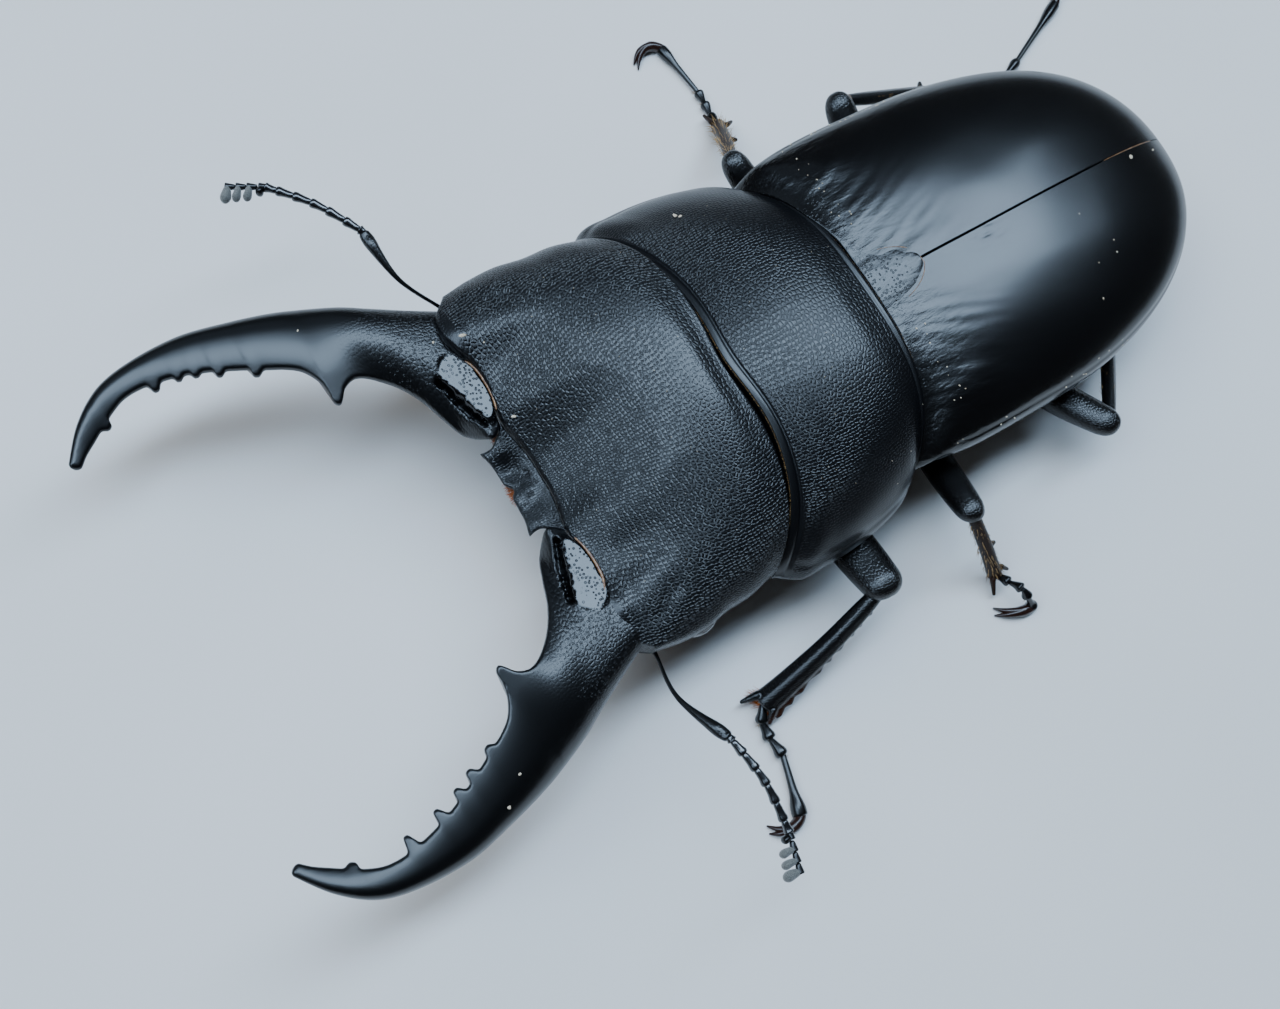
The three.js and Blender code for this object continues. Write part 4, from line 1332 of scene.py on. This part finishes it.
@dataclass
class LegSet:
    """The six legs, piece by piece."""

    bench: Bench
    femur_width: Measure = profile(1.0, 1.65, 1.95, 1.9, 1.6)
    femur_depth: Measure = profile(1.0, 1.35, 1.5, 1.4, 1.25)
    tibia_width: Measure = profile(0.5, 0.72, 0.82, 0.92, 1.02, 1.15)
    tibia_depth: Measure = profile(0.5, 0.62, 0.7, 0.74, 0.76, 0.8)

    def coxa(self, name: str, leg: Leg) -> bpy.types.Object:
        """The hip joint with the trochanter."""
        root, hip = Vector(leg.coxa), Vector(leg.hip)
        swell = profile(0.9, 1.9, 1.9, 1.1)
        width = lambda t: leg.size * swell(t)
        ball = Limb(
            [root.lerp(hip, -0.35), root, root.lerp(hip, 1.3)], width, width, start_round=1, end_round=0.8
        )
        piece = ball.lay(self.bench, f"{name}_hip", 32, 30)
        self.bench.mark(piece, grain=lambda x, y, z: 0.5)
        return self.bench.dress(piece, Finish.LIMB.material, "limb", f"{name}_coxa")

    def femur(self, name: str, leg: Leg) -> bpy.types.Object:
        """The thigh, with two lobes that hold the shin at the knee."""
        hip, knee = Vector(leg.hip), Vector(leg.knee)
        middle = (hip + knee) / 2 - Vector((0, 0, 0.5))

        def relief(t: float, turn: float) -> float:
            """The groove under the knee and a faint flat along the top."""
            under = hill(math.sin(turn), -1, 0.4) * soft(t, 0.6, 0.9)
            end = 0.14 * hill(abs(math.cos(turn)), 0.15, 0.3) * hill(t, 1, 0.12)
            return -0.4 * under - end + 0.02 * math.cos(2 * turn)

        limb = Limb(
            [hip, middle, knee.lerp(hip, -0.08)], lambda t: leg.size * leg.broad ** 0.5 * self.femur_width(t),
            lambda t: leg.size * self.femur_depth(t), start_round=1.2, end_round=2.1, relief=relief,
        )
        piece = limb.lay(self.bench, f"{name}_thigh", 44, 80)
        self.bench.mark(piece, grain=lambda x, y, z: 0.5)
        return self.bench.dress(piece, Finish.LIMB.material, "limb", f"{name}_femur")

    def axes(self, leg: Leg) -> tuple[Vector, Vector, Vector, Vector, Vector]:
        """The shin's start and end, and the directions along, outwards level and up."""
        start, end = Vector(leg.knee), Vector(leg.ankle)
        along = (end - start).normalized()
        start = start + along * 0.1 * leg.size
        level = Vector((0, 0, 1)).cross(along).normalized()
        rear = level * (1 if level.y > 0 else -1)
        return start, end, along, rear, (along.cross(level)).normalized()

    def tibia(self, name: str, leg: Leg) -> bpy.types.Object:
        """The shin, with spurs at its end and a keel of small teeth along its rear edge."""
        start, end, along, rear, upright = self.axes(leg)
        fore = leg.broad == 1

        def relief(t: float, turn: float) -> float:
            """A long furrow on the upper side."""
            return -0.09 * hill(math.sin(turn), 0.75, 0.2) * soft(t, 0.1, 0.3)

        shaft = Limb(
            [start, (start + end) / 2 + upright * 0.15 + rear * 0.25 * fore, end],
            lambda t: leg.size * leg.broad ** t * self.tibia_width(t),
            lambda t: leg.size * self.tibia_depth(t),
            start_round=0.5, end_round=0.5, relief=relief,
        ).lay(self.bench, f"{name}_shin", 32, 70)
        parts = [shaft]
        for turn in (-1, 1):
            root = end + rear * (0.75 * turn * leg.size) + upright * 0.3 - along * 0.7
            tip = root + along * (1.9 if turn < 0 else 1.4) + rear * (0.75 * turn) + upright * 0.1
            parts.append(self.spike(root, tip, 0.45 * leg.broad))
        if fore:
            saw = lambda t: 0.2 + 0.55 * t + 0.26 * abs(2 * ((t * 9.5 + 0.13 * math.sin(23 * t)) % 1) - 1)
            line = [
                start.lerp(end, t) + rear * lerp(0.45, 0.85, t) * leg.size - upright * 0.12
                for t in (0.12, 0.5, 1.0)
            ]
            keel = Limb(line, saw, profile(0.22, 0.3, 0.32), start_round=0.2, end_round=0.2)
            parts.append(keel.lay(self.bench, "keel", 16, 200))
        else:
            root = start.lerp(end, 0.58) + rear * 0.5 * leg.size
            parts.append(self.spike(root, root + rear * 1.0 + along * 0.6, 0.4))
        piece = self.bench.join(*parts)
        self.bench.melt(piece, 0.09, 2)
        middle = (start + end) / 2
        out = lambda x, y, z: (Vector((x, y, z)) - middle).dot(rear)
        finish, slot = (Finish.BROWN, "brown") if name.startswith("mid") else (Finish.LIMB, "limb")
        self.bench.mark(
            piece, grain=lambda x, y, z: 0.4,
            warm=lambda x, y, z: 0.6 * soft(out(x, y, z), 0.9, 1.8) * fore + 0.5 * name.startswith("mid"),
        )
        return self.bench.dress(piece, finish.material, slot, f"{name}_tibia")

    def spike(self, root: Vector, tip: Vector, size: float) -> bpy.types.Object:
        """A thorn from root to tip."""
        width = profile(size, size * 0.75, 0.16)
        return Limb([root, (root + tip) / 2, tip], width, width, end_round=0.15).lay(
            self.bench, "thorn", 12, 10
        )

    def tarsus(self, name: str, leg: Leg) -> bpy.types.Object:
        """The four joints of the foot, each widening to its far end."""
        rise = [leg.arch * max(0, 1 - (i - 1) ** 2 / 3) for i in range(len(leg.foot))]
        joints = [Vector(leg.ankle)] + [Vector((x, y, SOLE + up)) for (x, y), up in zip(leg.foot, rise)]
        bells = []
        for i, (start, end) in enumerate(zip(joints, joints[1:])):
            last = i + 2 == len(joints)
            shape = (
                profile(0.24, 0.27, 0.3, 0.38, 0.62, 0.62) if last
                else profile(0.2, 0.3, 0.42, 0.55, 0.46)
            )
            width = lambda t, shape=shape: leg.size * shape(t)
            line = [start.lerp(end, -0.08), (start + end) / 2 + Vector((0, 0, 0.1)), end]
            bells.append(
                Limb(line, width, width, start_round=0.15, end_round=0.3).lay(self.bench, "bell", 20, 26)
            )
        piece = self.bench.join(*bells)
        piece.name = piece.data.name = f"{name}_foot"
        return self.bench.dress(piece, Finish.LIMB.material, "limb", f"{name}_tarsus")

    def claws(self, name: str, leg: Leg) -> bpy.types.Object:
        """The pair of hooks at the end of the foot."""
        root = Vector((*leg.foot[-1], SOLE))
        bend = Vector((*leg.claw[0], SOLE + 0.3))
        tip = Vector((*leg.claw[1], GROUND + 0.1))
        bend += (bend - (root + tip) / 2) * 0.7
        across = Vector((0, 0, 1)).cross(tip - root).normalized()
        hooks = []
        for spread in (-0.1, 0.45):
            end = tip + across * 1.3 * spread
            line = [
                root.lerp(bend, t).lerp(bend.lerp(end, t), t)
                for t in (-0.1, 0.1, 0.3, 0.5, 0.7, 0.85, 1.0)
            ]
            width = profile(0.5, 0.52, 0.5, 0.4, 0.3, 0.19, 0.07)
            hooks.append(Limb(line, width, width, end_round=0.1).lay(self.bench, "hook", 14, 30))
        piece = self.bench.join(*hooks)
        piece.name = piece.data.name = f"{name}_hooks"
        self.bench.mark(piece, warm=lambda x, y, z: 0.3)
        return self.bench.dress(piece, Finish.LIMB.material, "limb", f"{name}_claws")

    def build(self) -> None:
        """Models and finishes the six legs."""
        for name, leg in LEGS.items():
            self.coxa(name, leg)
            self.femur(name, leg)
            self.tibia(name, leg)
            self.tarsus(name, leg)
            self.claws(name, leg)


# ---- The antennae ----


@dataclass(frozen=True)
class Antenna:
    """The bends of an antenna."""

    root: tuple[float, float, float]
    rise: tuple[float, float, float]
    elbow: tuple[float, float, float]
    lash: tuple[tuple[float, float, float], ...]
    tip: tuple[float, float, float]


ANTENNAE = {
    "left": Antenna(
        (17.9, -31.7, -1.2), (21.8, -32.6, 1.1), (26.6, -31.2, 2.9),
        ((30.8, -30.5, 2.5), (35.4, -30.7, 1.5)), (38.7, -31.6, 1),
    ),
    "right": Antenna(
        (-18, -32, -1.2), (-20.7, -34.6, 1.7), (-25.3, -35.4, 2.9),
        ((-29.2, -37.7, 3), (-32.7, -40.6, 2.6)), (-34.4, -43.6, 2.2),
    ),
}


@dataclass
class AntennaPair:
    """Both antennae: a long scape, a lash of small joints and a club of velvet leaves."""

    bench: Bench
    joints: int = 6
    leaf: float = 1.35

    def build(self) -> None:
        """Models and finishes the antennae."""
        for name, antenna in ANTENNAE.items():
            self.scape(name, antenna)
            self.lash(name, antenna)
            self.club(name, antenna)

    def scape(self, name: str, antenna: Antenna) -> None:
        """The long first joint, thin and ending in a knob with a cup."""
        size = profile(0.24, 0.2, 0.17, 0.17, 0.18, 0.21, 0.28, 0.42, 0.56, 0.44)
        start = Vector(antenna.root) + (Vector(antenna.root) - Vector(antenna.rise)).normalized() * 1.2
        cup = lambda t, turn: -0.3 * hill(math.sin(turn), 1, 0.5) * hill(t, 0.95, 0.05)
        limb = Limb(
            [start, antenna.root, antenna.rise, antenna.elbow], lambda t: size(max(0, t * 1.25 - 0.25)),
            lambda t: size(max(0, t * 1.25 - 0.25)), start_round=0.3, end_round=0.35, relief=cup,
        )
        piece = limb.lay(self.bench, f"scape_{name}", 24, 90)
        self.bench.mark(piece, grain=lambda x, y, z: 0.25)
        self.bench.dress(piece, Finish.LIMB.material, "limb", f"antenna_scape_{name}")

    def lash(self, name: str, antenna: Antenna) -> None:
        """The row of small joints, each flaring to its far end over the root of the next."""
        elbow, middle, end = Vector(antenna.elbow), Vector(antenna.lash[0]), Vector(antenna.lash[1])
        line = Path([elbow.lerp(middle, -0.05), middle, middle.lerp(end, 0.99)])
        ends = [0.0, 0.09, *(lerp(0.09, 1, i / self.joints) for i in range(1, self.joints + 1))]
        beads = []
        for a, b in zip(ends, ends[1:]):
            places = [line.at(lerp(a, b, t)) for t in (-0.06, 0.5, 1.02)]
            size = profile(0.22, 0.3, 0.33, 0.37, 0.43, 0.38)
            beads.append(
                Limb(places, size, size, start_round=0.1, end_round=0.14).lay(self.bench, "bead", 18, 22)
            )
        piece = self.bench.join(*beads)
        piece.name = piece.data.name = f"lash_{name}"
        self.bench.dress(piece, Finish.LASH.material, "limb", f"antenna_lash_{name}")

    def club(self, name: str, antenna: Antenna) -> None:
        """The club: a black stem, a black first leaf and three grey velvet leaves."""
        root, tip = Vector(antenna.lash[1]), Vector(antenna.tip)
        along = tip - root
        out = along.cross(Vector((0, 0, 1))).normalized() * SIDES[name]
        leaves, stems = [], []
        for i, place in enumerate((0.08, 0.36, 0.62, 0.88)):
            foot = root.lerp(tip, place)
            reach = self.leaf * (0.6, 0.95, 1.0, 1.1)[i]
            turned = foot + out * reach + along * 0.07
            line = [foot - out * 0.1, foot + out * reach * 0.5 + along * 0.02, turned]
            broad = 1.25 if i == 3 else 1
            width, depth = profile(0.2, 0.3 * broad, 0.36 * broad, 0.28), profile(0.26, 0.44, 0.54, 0.42)
            leaf = Limb(line, width, depth, end_round=0.4).lay(self.bench, "leaf", 20, 20)
            (leaves if i else stems).append(leaf)
            bead = [root.lerp(tip, place - 0.2), foot, foot + along * 0.06]
            knob = profile(0.2, 0.3, 0.36, 0.3)
            stems.append(
                Limb(bead, knob, knob, start_round=0.1, end_round=0.15).lay(self.bench, "knob", 18, 18)
            )
        stem = self.bench.join(*stems)
        stem.name = stem.data.name = f"club_stem_{name}"
        self.bench.dress(stem, Finish.LIMB.material, "limb")
        piece = self.bench.join(*leaves)
        piece.name = piece.data.name = f"club_{name}"
        self.bench.dress(piece, Finish.CLUB.material, "club", f"antenna_club_{name}")


# ---- Hair, skin, dust and a painted seam highlight ----


@dataclass
class Strand:
    """One hair: its root, its direction and length, its thickness and its root's place on the skin."""

    root: Vector
    way: Vector
    length: float
    thick: float
    spot: tuple[float, float]


@dataclass
class Coat:
    """The sparse hairs at the edges, joints and shins, laid as solid tufts."""

    bench: Bench
    pronotum: Pronotum
    legs: LegSet
    patch: float = 0.003

    def __post_init__(self) -> None:
        """Models the hair that all others are copied from."""
        thin = profile(1, 0.85, 0.5, 0.15)
        model = Limb([(0, 0, 0), (0, 0, 0.5), (0, 0, 1)], thin, thin, (0, 1, 0), 0.02, 0.02)
        hair = model.lay(self.bench, "hair", 4, 5)
        self.points = [self.bench.own(vertex.co) for vertex in hair.data.vertices]
        self.faces = [tuple(face.vertices) for face in hair.data.polygons]
        bpy.data.objects.remove(hair)
        self.dice = random.Random(7)

    def stray(self, spread: float) -> Vector:
        """A small random direction."""
        return Vector([self.dice.uniform(-spread, spread) for _ in range(3)])

    def weave(self, name: str, strands: Sequence[Strand], finish: Finish) -> bpy.types.Object:
        """Copies the hair along strands into one piece.

        Args:
            name: The name of the piece.
            strands: The hairs.
            finish: Their finish.

        Returns:
            The piece.
        """
        places, faces, spots = [], [], []
        for strand in strands:
            way = strand.way.normalized()
            side = way.cross(self.stray(1) + Vector((0, 0, 0.3))).normalized()
            cross = way.cross(side)
            sag = side * self.dice.uniform(-0.3, 0.3) * strand.length
            start = len(places)
            for x, y, z in self.points:
                bend = sag * z * z
                step = side * (x * strand.thick) + cross * (y * strand.thick) + way * (z * strand.length)
                places.append(self.bench.at(strand.root + step + bend))
                spots.append((strand.spot[0] + self.patch * z, strand.spot[1] + self.patch * 0.5 * x))
            faces.extend(tuple(start + i for i in face) for face in self.faces)
        mesh = bpy.data.meshes.new(name)
        mesh.from_pydata(places, [], faces)
        layer = mesh.uv_layers.new(name="OFBake")
        for loop in mesh.loops:
            layer.data[loop.index].uv = spots[loop.vertex_index]
        piece = bpy.data.objects.new(name, mesh)
        bpy.context.collection.objects.link(piece)
        self.bench.pick(piece)
        bpy.ops.object.shade_smooth()
        return self.bench.dress(piece, finish.material, None)

    def shin_hair(
        self, name: str, count: int, span: tuple[float, float], length: float, finish: Finish
    ) -> None:
        """Hairs on a shin, lying towards its foot.

        Args:
            name: The leg.
            count: How many hairs there are.
            span: Between which shares of the shin they grow.
            length: How long they are.
            finish: Their finish.
        """
        leg = LEGS[name]
        start, end, along, rear, upright = self.legs.axes(leg)
        strands = []
        for _ in range(count):
            t = self.dice.uniform(*span)
            turn = self.dice.uniform(0, 2 * math.pi)
            out = rear * math.cos(turn) + upright * math.sin(turn)
            wide = leg.size * leg.broad ** t * self.legs.tibia_width(t) * 0.95
            deep = leg.size * self.legs.tibia_depth(t) * 0.95
            root = start.lerp(end, t) + rear * (math.cos(turn) * wide) + upright * (math.sin(turn) * deep)
            way = along + out * self.dice.uniform(0.15, 0.6) + self.stray(0.2)
            spot = (turn / (2 * math.pi) * 0.99, t * 0.99)
            strands.append(Strand(root, way, length * self.dice.uniform(0.5, 1.1), 0.03, spot))
        self.weave(f"{name}_shin_hair", strands, finish)

    def apex_tufts(self) -> None:
        """The orange tufts at the ends of the forelegs' shins."""
        for name in ("fore_left", "fore_right"):
            leg = LEGS[name]
            _, end, along, rear, upright = self.legs.axes(leg)
            strands = []
            for _ in range(150):
                a, b = self.dice.uniform(-1, 1), self.dice.uniform(-1.0, 0.2)
                root = end + rear * a * 0.8 * leg.size + along * b - upright * 0.25
                way = rear * (a * 1.1 - 0.5) + along * 0.6 + upright * 0.1 + self.stray(0.25)
                strands.append(
                    Strand(root, way, self.dice.uniform(0.7, 1.35), 0.035, (a * 0.4 + 0.5, b * 0.4 + 0.5))
                )
            self.weave(f"{name}_tuft", strands, Finish.AMBER)

    def foot_hair(self) -> None:
        """Short golden bristles under the joints of the feet."""
        strands = []
        for leg in LEGS.values():
            for i, (x, y) in enumerate(leg.foot[:3]):
                rise = leg.arch * max(0, 1 - (i - 1) ** 2 / 3)
                for _ in range(7):
                    root = Vector((x, y, SOLE + rise - 0.1)) + self.stray(0.2)
                    way = Vector((self.dice.uniform(-1, 1), self.dice.uniform(-1, 1), -0.3))
                    strands.append(Strand(root, way, 0.55, 0.025, (self.dice.random(), self.dice.random())))
        self.weave("foot_bristles", strands, Finish.GOLD)

    def fringe(self) -> None:
        """The fine golden fringe under the front rim of the pronotum, and the one along its rear."""
        strands = []
        for _ in range(900):
            u = self.dice.uniform(-0.93, 0.93)
            v = 0.0
            x, y = self.pronotum.plan(u, v)
            z = self.pronotum.top(u, 0.01) - 0.22
            way = Vector((self.dice.uniform(-0.8, 0.8), -1, 0.5))
            strands.append(Strand(
                Vector((x, y + 0.1, z)), way, self.dice.uniform(0.14, 0.26), 0.016, (u / 2 + 0.5, 0.01)
            ))
        for _ in range(700):
            u = self.dice.uniform(-0.97, 0.97)
            x, y = self.pronotum.plan(u, 1)
            z = self.pronotum.top(u, 0.99) - 0.2
            way = Vector((self.dice.uniform(-0.8, 0.8), 1, 0.3))
            strands.append(Strand(
                Vector((x, y - 0.08, z)), way, self.dice.uniform(0.1, 0.2), 0.014, (u / 2 + 0.5, 0.98)
            ))
        self.weave("pronotum_fringe", strands, Finish.GOLD)

    def brush(self) -> None:
        """The orange brush under the labrum and at the jaws' inner roots."""
        strands = []
        for _ in range(260):
            x = self.dice.gauss(0, 0.75)
            root = Vector((x, -34.75 + 0.05 * x * x, -0.6 - self.dice.random() * 0.5))
            way = Vector((self.dice.uniform(-0.4, 0.4), -1, self.dice.uniform(-0.3, 0.25)))
            strands.append(Strand(root, way, self.dice.uniform(0.5, 0.95), 0.025, (x / 8 + 0.5, 0.9)))
        for side in SIDES.values():
            for _ in range(120):
                root = Vector((
                    side * self.dice.uniform(4.6, 5.4),
                    self.dice.uniform(-34.2, -33.6),
                    self.dice.uniform(-0.6, 0.6),
                ))
                way = Vector((-0.5 * side, -1, 0.2)) + self.stray(0.4)
                strands.append(
                    Strand(root, way, self.dice.uniform(0.3, 0.6), 0.025, (root.x / 14 + 0.5, 0.8))
                )
        self.weave("mouth_brush", strands, Finish.AMBER)

    def build(self) -> None:
        """Lays all the hair."""
        self.shin_hair("mid_right", 240, (0.05, 1.0), 1.3, Finish.GOLD)
        self.shin_hair("mid_left", 200, (0.1, 1.0), 0.8, Finish.GOLD)
        self.shin_hair("hind_left", 140, (0.2, 1.0), 0.6, Finish.GOLD)
        self.shin_hair("hind_right", 140, (0.2, 1.0), 0.6, Finish.GOLD)
        self.apex_tufts()
        self.foot_hair()
        self.fringe()
        self.brush()


@dataclass
class Trimmings:
    """The amber skin in the joints, a painted highlight along the seam of the wing cases, and specks of pale
    dust on the shell.
    """

    bench: Bench
    cases: WingCases

    def cord(self, name: str, points: Sequence[Sequence[float]], thick: float) -> bpy.types.Object:
        """A thin roll of skin along points."""
        size = profile(thick * 0.6, thick, thick, thick * 0.6)
        return Limb(points, size, size, start_round=0.2, end_round=0.2).lay(
            self.bench, name, 10, 12 * len(points)
        )

    def skins(self) -> None:
        """The rolls of skin between head and jaws, at the knees and round the scutellum, and a golden line
        along the seam near the apex, which is a painted highlight.
        """
        rolls = []
        for side in SIDES.values():
            line = ((6.3, -33.35), (7.5, -33.05), (9.0, -32.95), (10.4, -33.1), (11.4, -33.6), (12.0, -34.1))
            rolls.append(self.cord("roll", [(side * x, y, 2.3) for x, y in line], 0.12))
            rolls.append(self.cord("roll", [(side * x, y, z) for x, y, z in (
                (5.1, -33.5, 0.6), (4.9, -34.0, 0.3), (4.9, -34.4, -0.3))], 0.2))
        for leg in LEGS.values():
            knee, ankle = Vector(leg.knee), Vector(leg.ankle)
            way = (ankle - knee).normalized()
            rolls.append(self.cord("roll", [knee + way * t for t in (0.9, 1.3, 1.7)], 0.6 * leg.size))
        piece = self.bench.join(*rolls)
        piece.name = piece.data.name = "joint_skins"
        self.bench.dress(piece, Finish.SKIN.material, "brown")
        turns = [math.pi * (i / 14) for i in range(2, 13)]
        line = []
        for turn in turns:
            u, v = math.cos(turn), math.sin(turn)
            x, y = self.cases.scutellum_plan(1, v) if u > 0 else self.cases.scutellum_plan(-1, v)
            line.append((x, y, self.cases.ridge(y) - 0.03))
        rim = self.cord("scutellum_rim_and_seam_highlight", line, 0.045)
        # The golden line along the seam near the apex, in the skin's colour, is a painted highlight.
        rear = [(-self.cases.bend(y), y, self.cases.ridge(y) - 0.05) for y in (29, 31, 33, 35, 36.8)]
        seam = self.cord("seam_highlight_line", rear, 0.055)
        self.bench.dress(self.bench.join(rim, seam), Finish.SKIN.material, "brown")

    def dust(self, pieces: dict[str, bpy.types.Object]) -> None:
        """Specks of dust on the shells, few and small.

        Args:
            pieces: The shells by name.
        """
        dice = random.Random(3)
        spots = [
            ("pronotum", -14.2, -10.8, 0.32), ("pronotum", -13.9, -10.5, 0.22),
            ("head", -12.9, -32.9, 0.3), ("head", -5.1, -32.4, 0.26), ("head", -11.6, -31.6, 0.12),
            ("left", 6.8, 24.3, 0.14), ("left", 7.9, 23.9, 0.16), ("left", 8.0, 21.4, 0.1),
            ("left", 11.0, 19.9, 0.14), ("left", 3.2, 22.5, 0.1), ("left", 0.4, 32.3, 0.34),
            ("left", 0.5, 36.0, 0.2), ("jaw_left", 20.5, -47.0, 0.2), ("jaw_left", 22.2, -48.9, 0.26),
            ("jaw_right", -19.4, -44.5, 0.14), ("jaw_right", -13.8, -35.1, 0.2),
        ]
        for _ in range(34):
            side = dice.choice(("left", "right"))
            y = dice.uniform(0, 22)
            x = self.cases.width(y) - dice.uniform(0.3, 0.9)
            spots.append((side, x * SIDES[side], y, dice.uniform(0.06, 0.15)))
        for _ in range(26):
            x = dice.uniform(5, 14) * dice.choice((1, -1))
            spots.append(
                ("left" if x > 0 else "right", x, 1.3 + dice.random() * 1.5, dice.uniform(0.05, 0.14))
            )
        for _ in range(40):
            spots.append(
                ("pronotum", dice.uniform(-15, 16), dice.uniform(-14, -0.5), dice.uniform(0.03, 0.06))
            )
        for _ in range(40):
            spots.append(("head", dice.uniform(-15, 16), dice.uniform(-31, -17), dice.uniform(0.03, 0.06)))
        specks = []
        for name, x, y, size in spots:
            place, _ = self.bench.surface(pieces[name], x, y)
            self.bench.clear()
            bpy.ops.mesh.primitive_ico_sphere_add(subdivisions=1, radius=1)
            speck = bpy.context.object
            turn = dice.uniform(0, math.pi)
            long = dice.uniform(1.1, 2.0)
            for vertex in speck.data.vertices:
                co = vertex.co * dice.uniform(0.7, 1.15)
                a = co.x * math.cos(turn) * long - co.y * math.sin(turn)
                b = co.x * math.sin(turn) * long + co.y * math.cos(turn)
                vertex.co = self.bench.at(
                    place + Vector((a * size * 0.6, b * size * 0.6, co.z * size * 0.25 + 0.02))
                )
            specks.append(speck)
        piece = self.bench.join(*specks)
        piece.name = piece.data.name = "dust_specks"
        self.bench.dress(piece, Finish.DUST.material, None)


# ---- The studio ----


@dataclass
class Studio:
    """The floor, the lights and the camera."""

    bench: Bench
    eye: tuple[float, float, float] = (25.34, -63.18, 110.48)
    aim: tuple[float, float, float] = (6.13, -26.3, 0.0)
    roll: float = 32.12
    lens: float = 39.2

    def build(self) -> None:
        """Sets up the studio."""
        self.camera()
        self.floor()
        self.lights()

    def camera(self) -> None:
        """Places the camera above the jaws, turned a little."""
        data = bpy.data.cameras.new("view")
        data.lens = self.lens
        data.sensor_width = 36
        data.clip_start = 0.005
        camera = bpy.data.objects.new("view", data)
        bpy.context.collection.objects.link(camera)
        eye, aim = self.bench.at(self.eye), self.bench.at(self.aim)
        turn = (aim - eye).to_track_quat("-Z", "Y") @ Quaternion((0, 0, 1), math.radians(self.roll))
        camera.location = eye
        camera.rotation_euler = turn.to_euler()
        bpy.context.scene.camera = camera

    def floor(self) -> None:
        """The pale floor."""
        self.bench.clear()
        bpy.ops.mesh.primitive_grid_add(x_subdivisions=8, y_subdivisions=8, size=3)
        floor = bpy.context.object
        floor.name = floor.data.name = "floor"
        shader = Shader("floor")
        cloud = shader.cloud(60, 2)
        material = shader.finish(
            Base_Color=shader.blend(cloud.soft(0.3, 0.7), (0.8, 0.8, 0.79, 1), (0.84, 0.84, 0.835, 1)),
            Roughness=0.7,
        )
        floor.data.materials.append(material)
        floor.location.z = packed_box[0][2]

    def lights(self) -> None:
        """One long soft light overhead, a little to the right, and a dim room."""
        self.softbox("strip", (-0.19, 0.22, 0.97), 0.6, (0.17, 0.84), 5.0, (0.56, 0.76, 1.0))
        self.softbox("front", (-0.2, -0.62, 0.74), 0.6, (0.26, 0.3), 1.5, (0.56, 0.76, 1.0))
        self.softbox("wall", (-0.8, -0.1, 0.6), 0.8, (0.3, 0.6), 0.15, (0.6, 0.78, 1.0))
        fill = self.softbox("fill", (-0.5, -0.3, 0.8), 1.2, (1.2, 1.2), 7.0, (1.0, 0.9, 0.78))
        fill.visible_glossy = False
        world = bpy.data.worlds.new("room")
        bpy.context.scene.world = world
        world.use_nodes = True
        world.node_tree.nodes["Background"].inputs["Color"].default_value = (0.9, 0.92, 0.95, 1)
        world.node_tree.nodes["Background"].inputs["Strength"].default_value = 0.04

    def softbox(
        self, name: str, toward: Sequence[float], away: float, size: tuple[float, float], power: float,
        colour: tuple[float, float, float],
    ) -> bpy.types.Object:
        """Adds a rectangular light that faces the beetle."""
        data = bpy.data.lights.new(name, "AREA")
        data.shape = "RECTANGLE"
        data.size, data.size_y = size
        data.energy = power
        data.color = colour
        light = bpy.data.objects.new(name, data)
        bpy.context.collection.objects.link(light)
        way = Vector(toward).normalized()
        light.location = self.bench.origin + way * away
        across = Vector((0, 1, 0)).cross(way).normalized()
        light.rotation_euler = Matrix((across, way.cross(across), way)).transposed().to_euler()
        return light


def main() -> None:
    """Builds the beetle and the studio, piece by piece."""
    logging.basicConfig(level=logging.INFO, format="%(message)s")
    bench = Bench()
    Studio(bench).build()
    pronotum = Pronotum(bench)
    shells = {"pronotum": pronotum.build()}
    jaws = Jaws(bench)
    shells["jaw_left"], shells["jaw_right"] = jaws.build()
    head = Head(bench, pronotum, jaws)
    shells["head"] = head.build()
    Mouth(bench, head).build()
    cases = WingCases(bench, pronotum)
    shells["left"], shells["right"] = cases.build()
    Underside(bench, pronotum, cases).build()
    legs = LegSet(bench)
    legs.build()
    AntennaPair(bench).build()
    Coat(bench, pronotum, legs).build()
    trimmings = Trimmings(bench, cases)
    trimmings.skins()
    trimmings.dust(shells)


if __name__ == "__main__":
    main()
